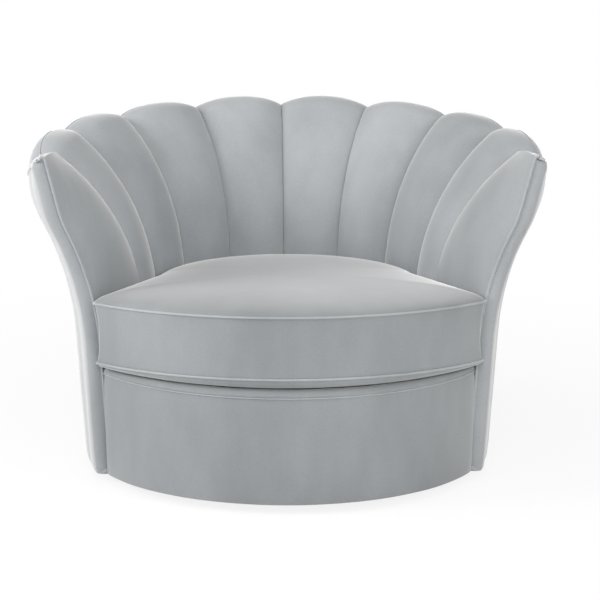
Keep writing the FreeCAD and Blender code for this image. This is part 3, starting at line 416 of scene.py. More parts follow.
def petal_point(left, right, fullness, column, seed, edge_pull=(1, 1)):
    """A point across a petal: tucked into the seam at each side, and rounded between."""
    (start, start_facing), (end, end_facing) = left, right
    along = (end - start).normalized()
    facing = (start_facing + end_facing).normalized()
    facing = (facing - along * facing.dot(along)).normalized()
    bulge = CHANNEL_BULGE * fullness * (end - start).length / RIM_CHORD
    if column < TUCK_COLUMNS:
        depth = SEAM_DEPTH * edge_pull[0] * (TUCK_COLUMNS - column) / TUCK_COLUMNS
        return start - start_facing * depth
    if column > TUCK_COLUMNS + FACE_COLUMNS:
        depth = SEAM_DEPTH * edge_pull[1] * (column - TUCK_COLUMNS - FACE_COLUMNS) / TUCK_COLUMNS
        return end - end_facing * depth
    across = math.sin(math.pi / 2 * (2 * (column - TUCK_COLUMNS) / FACE_COLUMNS - 1))
    crown = bulge * (1 - abs(across) ** CHANNEL_ROUNDNESS[0]) ** CHANNEL_ROUNDNESS[1]
    spot = start + (end - start) * (across + 1) / 2 + facing * crown
    from_seam = (1 - abs(across)) * (end - start).length / 2
    pucker = noise.noise(spot * PUCKER_SCALE + Vector((seed, 0, 0))) * PUCKER
    pucker *= math.exp(-from_seam / PUCKER_REACH)
    swell = noise.noise(spot * SWELL_SCALE + Vector((0, seed, 0))) * SWELL * (1 - across ** 2)
    return spot + facing * (pucker + swell)


def between(low, high, share):
    """A point and its facing, part of the way from one such pair to another."""
    return (low[0].lerp(high[0], share), low[1].lerp(high[1], share).normalized())


def seam_of(angle, aside, row):
    """A petal's edge beside a seam at one row."""
    slope, risen, _ = channel_row(row)
    spot = seam_spot(angle, slope)
    if risen < 1:
        spot = between(seam_spot(angle, LEAN, CHANNEL_FOOT), spot, risen)
    sideways = Vector((math.cos(angle), -math.sin(angle), 0)) * aside
    return spot[0] + sideways, spot[1]


def petal_place(number):
    """The rule that puts the points of one of the eight petals of the back in place."""
    left = (number - OUTER_SEAM) * CHANNEL_ANGLE
    right = left + CHANNEL_ANGLE

    def place(column, row):
        edges = (seam_of(left, SEAM_GAP / 2, row), seam_of(right, -SEAM_GAP / 2, row))
        return petal_point(*edges, channel_row(row)[2], column, number * PETAL_SEED_STEP)

    return place


for number in range(BACK_PETALS):
    petal = laid_grid(f"petal_{number + 2:02d}", CHANNEL_COLUMNS, CHANNEL_ROWS, petal_place(number))
    wrapped(petal, PETAL_WALL)
    # The petals take the lighter velvet, with its painted light.
    cover(petal, painted_light_velvet, "velvet", "chair", f"back_channel_{number + 2:02d}")

# Arm channels.
# The last petal on each side fills the inside of the arm, from its seam forward to the welt along
# the arm's front edge. Its crest thins out toward the rounded ear at the top of the arm's front.
ARM_TOP = 0.716
WELT_INSET = 0.012
ARM_ROLL = WELT_INSET / 2
ARM_CREST_SHARE = 0.08
ARM_THIN_START = math.radians(20)
ARM_THIN_POWER = 0.7
ARM_FILL_RATE = 2.5
ARM_WALL = 0.005
ARM_SEED = 61.7
WELT_PULL = 0.4
ARM_EDGE = ARM_FRONT - math.radians(0.12)
EAR_START = 0.600
EAR_FLARE = 0.26


def edge_radius(height):
    """Radius of the arm padding's front edge. Toward the top it runs straight on into the ear."""
    if height <= EAR_START:
        return cover_radius(height) - WELT_INSET
    return cover_radius(EAR_START) - WELT_INSET + EAR_FLARE * (height - EAR_START)


def welt_spot(slope, height=None):
    """A point of the arm's front edge, just inside the outside cover."""
    if height is None:
        centre = edge_radius(ARM_TOP - ARM_ROLL) + ARM_ROLL
        height = ARM_TOP - ARM_ROLL + ARM_ROLL * math.sin(slope)
        radius = centre - ARM_ROLL * math.cos(slope)
        return at(ARM_EDGE, radius, height), at(ARM_EDGE, -math.cos(slope), math.sin(slope))
    return at(ARM_EDGE, edge_radius(height), height), at(ARM_EDGE, -1, 0)


def mirrored(spot, side):
    """The spot itself for the right side, or its mirror image for the left."""
    return Vector((side * spot.x, spot.y, spot.z))


def arm_place(side):
    """The right arm's rule, or the left's, which is its mirror image."""
    seam = OUTER_SEAM * CHANNEL_ANGLE
    flare_foot = seam_spot(seam, LEAN)[0].z
    flare_top = seam_spot(seam, FLARE_END)[0].z

    def place(column, row):
        if side < 0:
            column = CHANNEL_COLUMNS - column
        slope, risen, fullness = channel_row(row)
        left = seam_of(seam, SEAM_GAP / 2, row)
        if risen < 1:
            right = welt_spot(slope, CHANNEL_FOOT + (flare_foot - CHANNEL_FOOT) * risen)
            fullness = FOOT_SHARE
        elif slope <= FLARE_END:
            done = (left[0].z - flare_foot) / (flare_top - flare_foot)
            right = welt_spot(slope, flare_foot + (ARM_TOP - 2 * ARM_ROLL - flare_foot) * done)
            fullness = FOOT_SHARE + (1 - FOOT_SHARE) * min(1, ARM_FILL_RATE * done)
        else:
            right = welt_spot(slope)
        thinned = min(1, max(0, slope - ARM_THIN_START) / (math.pi / 2 - ARM_THIN_START))
        fullness *= 1 - (1 - ARM_CREST_SHARE) * thinned ** ARM_THIN_POWER
        return mirrored(petal_point(left, right, fullness, column, ARM_SEED, (1, WELT_PULL)), side)

    return place


for side, word, node in ((1, "right", "back_channel_10"), (-1, "left", "back_channel_01")):
    petal = laid_grid(f"arm_petal_{word}", CHANNEL_COLUMNS, CHANNEL_ROWS, arm_place(side))
    wrapped(petal, ARM_WALL)
    cover(petal, velvet, "velvet", "chair", node)

# Outside cover.
# Three velvet panels pulled over thin padding, from the hem to the welt under the rolled rim. The
# side panels swell into an ear at the top of each arm, and turn round its front as far as its welt.
OUTER_SEAM_ANGLE = OUTER_SEAM * CHANNEL_ANGLE
CUT_TOP = RIM_HEIGHT - RIM_ROLL - 0.0015
ARM_CUT_AHEAD = WIDEST_RADIUS * math.cos(OUTER_SEAM_ANGLE)
ARM_CUT_TOP = CUT_TOP - RIM_FALL * (1 - math.cos(OUTER_SEAM_ANGLE))
FRONT_CUT_AHEAD = WIDEST_RADIUS * math.cos(ARM_FRONT)
FRONT_CUT_TOP = ARM_TOP + 0.0005
BACK_HALF = math.radians(47.2)
EAR_SPREAD = math.radians(13)
EAR_SWELL = 0.025
EAR_ROUND = 0.018
PANEL_WALL = 0.003
PANEL_PUFF = 0.0025
PUFF_REACH = 0.014
SEAM_SINK = 0.0008
PANEL_UNEVENNESS = 0.0012
PANEL_NOISE_SCALE = 5
SIDE_NOISE_START = Vector((9, 0, 0))
FRONT_DEPTH = 0.016
FRONT_COLUMNS = 14
SIDE_COLUMNS = 90
BACK_COLUMNS = 120
PANEL_ROWS = 84
HEM_ROWS = 3
HEM_STEP = (0.004, 0.002)
TOP_TURN_STEP = (0.003, 0.0004)


def cover_top(angle):
    """Height of the panels' top edge: along the end of the rolled petals, then up to the ear."""
    ahead = WIDEST_RADIUS * math.cos(angle)
    if ahead > ARM_CUT_AHEAD:
        share = (ahead - ARM_CUT_AHEAD) / (WIDEST_RADIUS - ARM_CUT_AHEAD)
        return ARM_CUT_TOP + (CUT_TOP - ARM_CUT_TOP) * share
    share = (ARM_CUT_AHEAD - ahead) / (ARM_CUT_AHEAD - FRONT_CUT_AHEAD)
    return ARM_CUT_TOP + (FRONT_CUT_TOP - ARM_CUT_TOP) * share


def ear_share(angle):
    """How much of the arm's front ear there is at an angle, from none to all of it."""
    near = min(1, max(0, 1 - (ARM_FRONT - abs(angle)) / EAR_SPREAD))
    return near ** 2 * (3 - 2 * near)


def panel_radius(angle, height):
    """Radius of the outside cover, with the rounded ear toward the top of the arm's front."""
    radius = cover_radius(height)
    swell = max(0, edge_radius(height) + EAR_SWELL - radius)
    above = max(0, height - (cover_top(angle) - EAR_ROUND)) / EAR_ROUND
    rounded = EAR_ROUND * (1 - math.sqrt(max(0, 1 - above ** 2)))
    return radius + ear_share(angle) * (swell - rounded)


def panel_height(angle, row):
    """A row's height, and how far it is turned in: at the hem, and at the top under the petals."""
    if row < HEM_ROWS:
        steps = HEM_ROWS - row
        return FLOOR_GAP + HEM_STEP[1] * steps ** 1.5, HEM_STEP[0] * steps
    share = (row - HEM_ROWS) / (PANEL_ROWS - 2 * HEM_ROWS)
    if share <= 1:
        return FLOOR_GAP + (cover_top(angle) - FLOOR_GAP) * share, 0
    past = row - (PANEL_ROWS - HEM_ROWS)
    return cover_top(angle) + TOP_TURN_STEP[1] * past, TOP_TURN_STEP[0] * past


def panel_puff(edge_distance, height, top):
    """The padding's swell, which dies away at the seams and edges."""
    ends = min(edge_distance, height - FLOOR_GAP, top - height)
    return PANEL_PUFF * (1 - math.exp(-max(0, ends) / PUFF_REACH)) - SEAM_SINK


def back_panel_place(column, row):
    """A point of the panel across the back, from its left seam to its right."""
    angle = BACK_HALF * (2 * column / BACK_COLUMNS - 1)
    height, turned_in = panel_height(angle, row)
    edge = (BACK_HALF - abs(angle)) * WIDEST_RADIUS
    radius = cover_radius(height) - turned_in + panel_puff(edge, height, cover_top(angle))
    radius += PANEL_UNEVENNESS * noise.noise(at(angle, 1, height) * PANEL_NOISE_SCALE)
    return at(angle, radius, height)


def side_panel_place(side):
    """The rule for a side panel, from the seam at the back round the arm's front to its welt."""
    end = ARM_FRONT - FRONT_DEPTH / WIDEST_RADIUS

    def place(column, row):
        if side > 0:
            column = SIDE_COLUMNS + FRONT_COLUMNS - column
        along = SIDE_COLUMNS - column if column <= SIDE_COLUMNS else 0
        angle = end - (end - BACK_HALF) * along / SIDE_COLUMNS
        height, turned_in = panel_height(angle, row)
        edge = (angle - BACK_HALF) * WIDEST_RADIUS
        smooth = panel_radius(angle, height) - turned_in
        radius = smooth + panel_puff(edge, height, cover_top(angle))
        where = at(angle, 1, height) * PANEL_NOISE_SCALE + SIDE_NOISE_START
        spot = at(angle, radius + PANEL_UNEVENNESS * noise.noise(where), height)
        if column > SIDE_COLUMNS:
            turn = math.pi / 2 * (column - SIDE_COLUMNS) / FRONT_COLUMNS
            ahead = Vector((math.cos(angle), -math.sin(angle), 0))
            inward = at(angle, -1, 0)
            depth = smooth - edge_radius(height)
            spot += ahead * FRONT_DEPTH * math.sin(turn) + inward * depth * (1 - math.cos(turn))
        return mirrored(spot, side)

    return place


back_panel = laid_grid("outside_back_panel", BACK_COLUMNS, PANEL_ROWS,
                       lambda column, row: back_panel_place(BACK_COLUMNS - column, row))
wrapped(back_panel, PANEL_WALL)
cover(back_panel, velvet, "velvet", "chair", "outside_back")
for side, word in ((1, "right"), (-1, "left")):
    side_panel = laid_grid(f"outside_arm_panel_{word}", SIDE_COLUMNS + FRONT_COLUMNS, PANEL_ROWS,
                           side_panel_place(side))
    wrapped(side_panel, PANEL_WALL)
    cover(side_panel, velvet, "velvet", "chair", f"outside_arm_{word}")

# Welts.
# Velvet-covered cord sewn into the long seams: up the front edge of each arm, and round the outside
# of the rim where the petals end.
WELT_RADIUS = 0.003
WELT_AHEAD = 0.0033
WELT_STEPS = 90
EAR_WELT_STEPS = 8
EAR_WELT_TURN = math.radians(100)
EAR_WELT_RISE = 0.001
RIM_WELT_DROP = 0.00288
EAR_WELT_DROP = 0.6 * WELT_RADIUS
RIM_WELT_SINK = 0.2 * WELT_RADIUS
EAR_WELT_SINK = 0.7 * WELT_RADIUS
RIM_WELT_STEPS_PER_RADIAN = 60
ROUND_SMOOTH_ANGLE = math.radians(60)


def piped(name, spots, radius, closed=False):
    """A round cord through a row of points, as a mesh."""
    curve = bpy.data.curves.new(name, "CURVE")
    curve.dimensions = "3D"
    curve.bevel_depth = radius
    curve.bevel_resolution = 4
    curve.use_fill_caps = not closed
    line = curve.splines.new("POLY")
    line.points.add(len(spots) - 1)
    for point, spot in zip(line.points, spots):
        point.co = (*spot, 1)
    line.use_cyclic_u = closed
    piece = bpy.data.objects.new(name, curve)
    bpy.context.collection.objects.link(piece)
    choose(piece)
    bpy.ops.object.convert(target="MESH")
    bpy.ops.object.shade_smooth_by_angle(angle=ROUND_SMOOTH_ANGLE)
    return bpy.context.active_object


def arm_welt_spots(side):
    """From the hem up the arm's front, then over the ear's edge toward the rim's welt."""
    ahead = Vector((math.cos(ARM_FRONT), -math.sin(ARM_FRONT), 0)) * WELT_AHEAD
    top = ARM_TOP - ARM_ROLL
    spots = []
    for step in range(WELT_STEPS + 1):
        height = FLOOR_GAP + (top - FLOOR_GAP) * step / WELT_STEPS
        spots.append(at(ARM_FRONT, edge_radius(height), height) + ahead)
    centre = edge_radius(top) + ARM_ROLL
    for step in range(1, EAR_WELT_STEPS + 1):
        share = step / EAR_WELT_STEPS
        turn = EAR_WELT_TURN * share
        spots.append(at(ARM_FRONT, centre - ARM_ROLL * math.cos(turn),
                        top + (ARM_ROLL + EAR_WELT_RISE) * math.sin(turn)) + ahead * (1 - share))
    return [mirrored(spot, side) for spot in spots]


def rim_welt_spots(first, last):
    """Along the panels' top edge between two angles, sunk deeper where it runs onto the ear."""
    count = round(abs(last - first) * RIM_WELT_STEPS_PER_RADIAN)
    spots = []
    for step in range(count + 1):
        angle = first + (last - first) * step / count
        ear = ear_share(angle)
        height = cover_top(abs(angle)) - RIM_WELT_DROP - EAR_WELT_DROP * ear
        radius = WIDEST_RADIUS * (1 - ear) + panel_radius(angle, height) * ear
        spots.append(at(angle, radius - RIM_WELT_SINK - EAR_WELT_SINK * ear, height))
    return spots


for side, word in ((1, "right"), (-1, "left")):
    welt = piped(f"arm_piping_{word}", arm_welt_spots(side), WELT_RADIUS)
    # The piping takes the lighter velvet, with its painted highlight.
    cover(welt, painted_highlight_piping_velvet, "welt_velvet", "chair", f"arm_welt_{word}")
welt = piped("rim_piping_back", rim_welt_spots(-OUTER_SEAM_ANGLE, OUTER_SEAM_ANGLE), WELT_RADIUS)
cover(welt, painted_highlight_piping_velvet, "welt_velvet", "chair", "rim_welt_back")
for side, word in ((1, "right"), (-1, "left")):
    spots = rim_welt_spots(side * OUTER_SEAM_ANGLE, side * ARM_FRONT)
    welt = piped(f"rim_piping_{word}", spots, WELT_RADIUS)
    cover(welt, painted_highlight_piping_velvet, "welt_velvet", "chair", f"rim_welt_{word}")

# Crest piping.
# A finer velvet-covered cord, sewn in where the face of each petal meets its outer roll. It follows
# the petals over their crests, from one arm to the other.
CREST_ROW = FOOT_ROWS + FLARE_ROWS + 16
CREST_RADIUS = 0.0016


def add_piping(name, spots, radius):
    """A cord of the chair's own that takes the place of no CAD node."""
    piece = piped(name, spots, radius)
    # The cord takes the lighter velvet, with its painted highlight.
    piece.data.materials.append(painted_highlight_piping_velvet)
    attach(piece, "chair")


crest_spots = []
back_places = [petal_place(number) for number in range(BACK_PETALS)]
for place in [arm_place(-1), *back_places, arm_place(1)]:
    crest_spots += [place(column, CREST_ROW)
                    for column in range(TUCK_COLUMNS + 1, TUCK_COLUMNS + FACE_COLUMNS)]
add_piping("crest_piping", crest_spots, CREST_RADIUS)

# Front border.
# A curved velvet band over padded hardboard closes the front of the drum. It leans in a little
# toward the hem, and a narrow piped seam near its top marks where it rolls onto the seat deck.
BORDER_START = ARM_FRONT + math.radians(0.75)
BORDER_TAPER = 0.004
DECK_HEIGHT = 0.262
LIP_RADIUS = 0.016
BORDER_COLUMNS = 150
BORDER_WALL_ROWS = 44
LIP_ROWS = 10
LIP_END_ROWS = 2
LIP_SWELL = 0.0012
LIP_END_STEP = (0.003, 0.0015)
BORDER_PUFF = 0.0025
BORDER_SINK = 0.0015
BORDER_SIDE_PUFF = 0.0015
BORDER_SIDE_SINK = 0.001
BORDER_SIDE_REACH = 0.012
BORDER_UNEVENNESS = 0.0010
BORDER_NOISE_SCALE = 6
BORDER_PIPING_RADIUS = 0.0013
BORDER_PIPING_OUT = 0.0006
BORDER_PIPING_STEPS = 120


def border_profile(row):
    """Radius and height of the band from its turned hem up its wall and over its lip."""
    seam_height = DECK_HEIGHT - LIP_RADIUS
    if row < HEM_ROWS:
        steps = HEM_ROWS - row
        return BASE_RADIUS - BORDER_TAPER - HEM_STEP[0] * steps, FLOOR_GAP + HEM_STEP[1] * steps
    row -= HEM_ROWS
    if row <= BORDER_WALL_ROWS:
        share = row / BORDER_WALL_ROWS
        puff = BORDER_PUFF * (1 - (2 * share - 1) ** 8) - BORDER_SINK
        return (BASE_RADIUS - BORDER_TAPER * (1 - share) + puff,
                FLOOR_GAP + (seam_height - FLOOR_GAP) * share)
    turn = math.pi / 2 * min(1, (row - BORDER_WALL_ROWS) / LIP_ROWS)
    past = max(0, row - BORDER_WALL_ROWS - LIP_ROWS)
    lip = LIP_RADIUS + LIP_SWELL * math.sin(2 * turn)
    return (BASE_RADIUS - LIP_RADIUS + lip * math.cos(turn) - LIP_END_STEP[0] * past,
            seam_height + lip * math.sin(turn) - LIP_END_STEP[1] * past)


def border_place(column, row):
    """A point of the band, which sinks a little toward its side seams."""
    whole_turn = 2 * (math.pi - BORDER_START)
    angle = BORDER_START + whole_turn * column / BORDER_COLUMNS
    radius, height = border_profile(row)
    edge = min(column, BORDER_COLUMNS - column) / BORDER_COLUMNS * whole_turn * radius
    radius += BORDER_SIDE_PUFF * (1 - math.exp(-edge / BORDER_SIDE_REACH)) - BORDER_SIDE_SINK
    radius += BORDER_UNEVENNESS * noise.noise(at(angle, 1, height) * BORDER_NOISE_SCALE)
    return at(angle, radius, height)


border_rows = HEM_ROWS + BORDER_WALL_ROWS + LIP_ROWS + LIP_END_ROWS
border = laid_grid("front_border_band", BORDER_COLUMNS, border_rows,
                   lambda column, row: border_place(BORDER_COLUMNS - column, row))
wrapped(border, PANEL_WALL)
# The band takes the darker velvet, with its painted shade.
cover(border, painted_shade_velvet, "velvet", "chair", "front_border")
border_seam_spots = []
for step in range(BORDER_PIPING_STEPS + 1):
    angle = BORDER_START + 2 * (math.pi - BORDER_START) * step / BORDER_PIPING_STEPS
    border_seam_spots.append(at(angle, BASE_RADIUS + BORDER_PIPING_OUT, DECK_HEIGHT - LIP_RADIUS))
add_piping("front_border_piping", border_seam_spots, BORDER_PIPING_RADIUS)

# Seat deck.
# A needled pad over the springs, hidden by the cushion. It is softly dished where the springs give.
DECK_REMESH = 0.005
DECK_MERGE = 1e-5
DECK_SMOOTHING = 4
DISH_ABOVE = 0.25
DISH_RADIUS = 0.36
DISH_DEPTH = 0.004
deck_felt = new_finish("needled_deck_pad", (0.16, 0.165, 0.17), 0.95)
shade(deck_felt, speckle(deck_felt, 260), (0.12, 0.124, 0.13), (0.22, 0.226, 0.232))
relief(deck_felt, speckle(deck_felt, 200), 0.6, 0.0008)
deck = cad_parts["seat_deck"].copy()
deck.data = deck.data.copy()
deck.parent = None
deck.matrix_world = Matrix.Identity(4)
deck.name = "deck_pad"
bpy.context.collection.objects.link(deck)
choose(deck)
merge_doubles(DECK_MERGE)
deck.data.remesh_voxel_size = DECK_REMESH
bpy.ops.object.voxel_remesh()
softened = deck.modifiers.new("softened", "SMOOTH")
softened.iterations = DECK_SMOOTHING
bpy.ops.object.modifier_apply(modifier=softened.name)
for vertex in deck.data.vertices:
    if vertex.co.z > DISH_ABOVE:
        spread = math.hypot(vertex.co.x, vertex.co.y) / DISH_RADIUS
        if spread < 1:
            vertex.co.z -= DISH_DEPTH * (1 - spread ** 2)
bpy.ops.object.shade_smooth_by_angle(angle=ROUND_SMOOTH_ANGLE)
cover(deck, deck_felt, "deck_felt", "chair", "seat_deck")

# Seat cushion.
# A loose boxed cushion: a crowned top and a flat bottom joined by a side band, which draws in
# between its two piped seams. Its back follows the petals, its sides the arms, and its front stands
# proud. It is laid out in rings, from the middle of the bottom to the middle of the top.
CUSHION_FRONT = 0.461
CORNER_REACH = 0.478
CUSHION_MARGIN = 0.0042
LOW_SEAM = 0.286
HIGH_SEAM = 0.414
SEAM_DIP = 0.011
CROWN = 0.439
CUSHION_WAIST = 0.004
CORNER_ANGLE = math.radians(59.5)
CORNER_ROUNDING = 0.016
CORNER_SOFTENING = 0.022
CUSHION_SPOTS = 320
FRONT_STEPS = 60
CORNER_STEPS = 16
SIDE_STEPS = 40
BACK_STEPS = 50
EASINGS = 4
SIDE_ROWS = 22
PANEL_RINGS = 46
CUSHION_CENTRE = Vector((0, -0.06, 0))
CUSHION_FOOT = 0.2625
UNDER_ROUNDNESS = 36
CROWN_ROUNDNESS = 3.2
SEAM_PIPING_RADIUS = 0.0023
SEAM_PIPING_OUT = 0.0012


def seam_radius(angle, height):
    """Radius of a seam of the back at a height, from the deck up through the flare."""
    foot = seam_spot(angle, LEAN)[0]
    foot_radius = math.hypot(foot.x, foot.y)
    if height <= foot.z:
        return foot_radius - (foot.z - height) * math.tan(LEAN)
    turn = math.asin(math.sin(LEAN) + (height - foot.z) / INNER_BEND)
    return foot_radius + INNER_BEND * (math.cos(LEAN) - math.cos(turn))


def dipped(ring):
    """The ring, sunk more and more toward its two front corners, and evenly behind them."""
    spots = []
    for spot in ring:
        from_front = (math.pi - abs(math.atan2(spot.x, spot.y))) / CORNER_ANGLE
        spots.append(spot - Vector((0, 0, SEAM_DIP * min(1, from_front) ** 2)))
    return spots


def back_reach(height):
    """Radius that clears the fullest petal of the back at a height."""
    half = CHANNEL_ANGLE / 2
    reaches = []
    for number in range(OUTER_SEAM):
        angle = number * CHANNEL_ANGLE
        seam = (seam_radius(angle, height) + seam_radius(angle + CHANNEL_ANGLE, height)) / 2
        foot = seam_spot(angle + CHANNEL_ANGLE, LEAN)[0].z
        risen = min(1, max(0, (height - CHANNEL_FOOT) / (foot - CHANNEL_FOOT)))
        fullness = FOOT_SHARE + (1 - FOOT_SHARE) * risen
        bulge = CHANNEL_BULGE * fullness * 2 * seam * math.sin(half) / RIM_CHORD
        reaches.append(seam * math.cos(half) - bulge)
    return min(reaches)


def cushion_outline(height, inset):
    """The cushion's outline at a height, as evenly spaced points from the middle of the front."""
    margin = CUSHION_MARGIN + inset
    back_radius = back_reach(height) - margin
    front = at(ARM_FRONT, cover_radius(height) - WELT_INSET, height)
    arm = at(OUTER_SEAM_ANGLE, seam_radius(OUTER_SEAM_ANGLE, height), height)
    along = (front - arm).normalized()
    front += Vector((along.y, -along.x, 0)) * (margin + CHANNEL_BULGE * FOOT_SHARE)
    middle = front - along * (front.x * along.x + front.y * along.y)
    aside = math.hypot(middle.x, middle.y)
    rear = middle + along * math.sqrt(max(0, back_radius ** 2 - aside ** 2))
    rounding = CORNER_ROUNDING + CORNER_SOFTENING * (HIGH_SEAM - height) / (HIGH_SEAM - LOW_SEAM)
    corner_turn = CORNER_ANGLE - rounding / CORNER_REACH
    right = []
    for step in range(FRONT_STEPS + 1):
        share = step / FRONT_STEPS
        swell = (CORNER_REACH - CUSHION_FRONT) * share ** 3
        right.append(at(math.pi - corner_turn * share, CUSHION_FRONT + swell - inset, height))
    on_side = front + along * rounding
    corner = at(math.pi - CORNER_ANGLE, CORNER_REACH - inset, height)
    for step in range(1, CORNER_STEPS):
        share = step / CORNER_STEPS
        leg = right[FRONT_STEPS].lerp(corner, share)
        right.append(leg.lerp(corner.lerp(on_side, share), share))
    right += [on_side.lerp(rear, step / SIDE_STEPS) for step in range(SIDE_STEPS)]
    back_angle = math.atan2(rear.x, rear.y)
    for step in range(BACK_STEPS):
        share = 1 - step / BACK_STEPS
        radius = back_radius + (rear.xy.length - back_radius) * share ** 2
        right.append(at(back_angle * share, radius, height))
    right.append(at(0, back_radius, height))
    left = [Vector((-spot.x, spot.y, spot.z)) for spot in reversed(right[1:-1])]
    return dipped(evenly(right + left))


def evenly(ring):
    """The ring's points moved to even spacing, then eased so that its corners are soft."""
    lengths = [0]
    for number, spot in enumerate(ring):
        lengths.append(lengths[-1] + (ring[(number + 1) % len(ring)] - spot).length)
    spots = []
    place = 0
    for step in range(CUSHION_SPOTS):
        wanted = lengths[-1] * step / CUSHION_SPOTS
        while lengths[place + 1] < wanted:
            place += 1
        share = (wanted - lengths[place]) / max(1e-9, lengths[place + 1] - lengths[place])
        spots.append(ring[place].lerp(ring[(place + 1) % len(ring)], share))
    for _ in range(EASINGS):
        spots = [(spots[number - 1] + spot * 2 + spots[(number + 1) % CUSHION_SPOTS]) / 4
                 for number, spot in enumerate(spots)]
    return spots


def panel_spot(spot, share, level, roundness):
    """A point of the top or bottom panel: on its way in from the seam it rounds over to a level."""
    rounded = (1 - share ** roundness) ** 0.5
    place = CUSHION_CENTRE + (spot - CUSHION_CENTRE) * share
    place.z = spot.z + (level - spot.z) * rounded
    return place


def cushion_ring(row):
    """One ring of points: out from the bottom's middle, up the side band, and in over the top."""
    if row <= PANEL_RINGS:
        share = math.sin(math.pi / 2 * row / PANEL_RINGS)
        return [panel_spot(spot, share, CUSHION_FOOT, UNDER_ROUNDNESS) for spot in low_ring]
    row -= PANEL_RINGS
    if row <= SIDE_ROWS:
        share = row / SIDE_ROWS
        height = LOW_SEAM + (HIGH_SEAM - LOW_SEAM) * share
        return cushion_outline(height, CUSHION_WAIST * math.sin(math.pi * share) ** 0.7)
    share = math.cos(math.pi / 2 * (row - SIDE_ROWS) / PANEL_RINGS)
    return [panel_spot(spot, share, CROWN, CROWN_ROUNDNESS) for spot in high_ring]


low_ring = cushion_outline(LOW_SEAM, 0)
high_ring = cushion_outline(HIGH_SEAM, 0)
cushion_rows = 2 * PANEL_RINGS + SIDE_ROWS
rings = [cushion_ring(row) for row in range(cushion_rows + 1)]
cushion = laid_grid("seat_cushion_velvet", CUSHION_SPOTS, cushion_rows,
                    lambda column, row: rings[row][column % CUSHION_SPOTS], closed=True)
bpy.ops.object.mode_set(mode="EDIT")
bpy.ops.mesh.select_all(action="SELECT")
bpy.ops.mesh.normals_make_consistent(inside=False)
bpy.ops.object.mode_set(mode="OBJECT")
bpy.ops.object.shade_smooth_by_angle(angle=SMOOTH_ANGLE)
# The cushion takes the darker velvet, with its painted shade.
cover(cushion, painted_shade_velvet, "velvet", "seat_cushion", "cushion_cover", "cushion_core")
for word, height in (("top", HIGH_SEAM), ("bottom", LOW_SEAM)):
    spots = cushion_outline(height, -SEAM_PIPING_OUT)
    piping = piped(f"cushion_seam_piping_{word}", spots, SEAM_PIPING_RADIUS, closed=True)
    # The piping takes the lighter velvet, with its painted highlight.
    cover(piping, painted_highlight_piping_velvet, "welt_velvet", "seat_cushion", f"cushion_piping_{word}")

# Studio.
# A plain white floor that keeps the chair's shadow, white surroundings, soft lamps on the left,
# above, in front and on the right, and the camera at the photograph's angle.
CAMERA_PLACE = Vector((-0.1116, -3.9947, 1.141))
CAMERA_AIM = Vector((0.0274, 0.9811, -0.1915))
CAMERA_LENS = 108
CAMERA_SENSOR = 36
CAMERA_SHIFT = 0.0215
FILL_STRENGTH = 0.42
FLOOR_SIZE = 400
FLOOR_DROP = 0.0005
FLOOR_WHITE = 0.86
SHADOW_REACH = (0.7, 2.2)
LAMP_AIM = Vector((0, 0, 0.4))


def white_backdrop(nodes, links, lit, output):
    """Mixes the lit surface with a white for the camera and reflections, which the caller links."""
    path = nodes.new("ShaderNodeLightPath")
    seen = nodes.new("ShaderNodeMath")
    seen.operation = "MAXIMUM"
    links.new(path.outputs["Is Camera Ray"], seen.inputs[0])
    links.new(path.outputs["Is Glossy Ray"], seen.inputs[1])
    seen_through = nodes.new("ShaderNodeMath")
    seen_through.operation = "MAXIMUM"
    links.new(seen.outputs[0], seen_through.inputs[0])
    links.new(path.outputs["Is Transmission Ray"], seen_through.inputs[1])
    mix = nodes.new("ShaderNodeMixShader")
    links.new(lit, mix.inputs[1])
    links.new(mix.outputs[0], output)
    return seen_through.outputs[0], mix


world = bpy.data.worlds.new("studio")
bpy.context.scene.world = world
world.use_nodes = True
world_nodes = world.node_tree.nodes
world_links = world.node_tree.links
soft_fill = world_nodes["Background"]
soft_fill.inputs["Color"].default_value = (1.0, 1.0, 1.0, 1)
soft_fill.inputs["Strength"].default_value = FILL_STRENGTH
seen_white = world_nodes.new("ShaderNodeBackground")
seen_white.inputs["Color"].default_value = (1, 1, 1, 1)
seen_white.inputs["Strength"].default_value = 1
seen, mix = white_backdrop(world_nodes, world_links, soft_fill.outputs[0],
                           world_nodes["World Output"].inputs["Surface"])
world_links.new(seen, mix.inputs[0])
world_links.new(seen_white.outputs[0], mix.inputs[2])

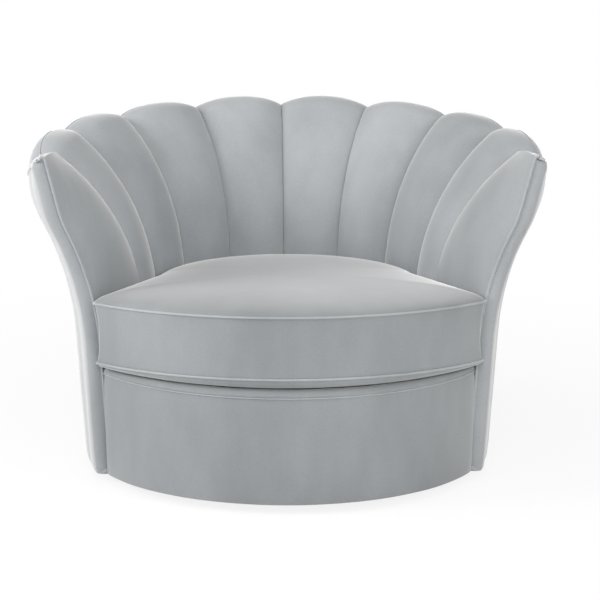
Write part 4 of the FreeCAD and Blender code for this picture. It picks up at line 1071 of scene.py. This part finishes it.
bpy.ops.object.select_all(action="DESELECT")
bpy.ops.mesh.primitive_plane_add(size=FLOOR_SIZE, location=(0, 0, -FLOOR_DROP))
floor = bpy.context.active_object
floor.name = "studio_floor"
bpy.ops.object.transform_apply(location=True)
floor_paint = new_finish("studio_white", (0.92, 0.92, 0.92), 0.9)
floor_nodes = floor_paint.node_tree.nodes
floor_links = floor_paint.node_tree.links
glow = floor_nodes.new("ShaderNodeEmission")
glow.inputs["Strength"].default_value = 1
seen, mix = white_backdrop(floor_nodes, floor_links, floor_nodes["Principled BSDF"].outputs[0],
                           floor_nodes["Material Output"].inputs["Surface"])
floor_spot = floor_nodes.new("ShaderNodeTexCoord")
distance = floor_nodes.new("ShaderNodeVectorMath")
distance.operation = "LENGTH"
floor_links.new(floor_spot.outputs["Object"], distance.inputs[0])
whiter = floor_nodes.new("ShaderNodeMapRange")
whiter.inputs["From Min"].default_value = SHADOW_REACH[0]
whiter.inputs["From Max"].default_value = SHADOW_REACH[1]
whiter.inputs["To Min"].default_value = FLOOR_WHITE
whiter.inputs["To Max"].default_value = 1
floor_links.new(distance.outputs["Value"], whiter.inputs["Value"])
partly = floor_nodes.new("ShaderNodeMath")
partly.operation = "MULTIPLY"
floor_links.new(seen, partly.inputs[0])
floor_links.new(whiter.outputs["Result"], partly.inputs[1])
floor_links.new(partly.outputs[0], mix.inputs[0])
floor_links.new(glow.outputs[0], mix.inputs[2])
floor.data.materials.append(floor_paint)


def soft_lamp(name, place, size, power):
    """A round lamp that faces the chair."""
    lamp = bpy.data.lights.new(name, "AREA")
    lamp.shape = "DISK"
    lamp.size = size
    lamp.energy = power
    holder = bpy.data.objects.new(name, lamp)
    holder.location = place
    holder.rotation_euler = (LAMP_AIM - Vector(place)).to_track_quat("-Z", "Y").to_euler()
    bpy.context.collection.objects.link(holder)


soft_lamp("key_lamp", (-3.8, -1.2, 2.2), 2.0, 122)
soft_lamp("top_lamp", (0.1, -1.6, 3.6), 2.4, 24)
soft_lamp("front_lamp", (-0.2, -4.4, 2.2), 1.6, 66)
soft_lamp("side_lamp", (3.2, -2.6, 2.2), 1.6, 42)

camera = bpy.data.cameras.new("photo_camera")
camera.lens = CAMERA_LENS
camera.sensor_width = CAMERA_SENSOR
camera.shift_x = CAMERA_SHIFT
viewer = bpy.data.objects.new("photo_camera", camera)
viewer.location = CAMERA_PLACE
viewer.rotation_euler = CAMERA_AIM.to_track_quat("-Z", "Y").to_euler()
bpy.context.collection.objects.link(viewer)
bpy.context.scene.camera = viewer
bpy.context.scene.view_settings.view_transform = "Standard"
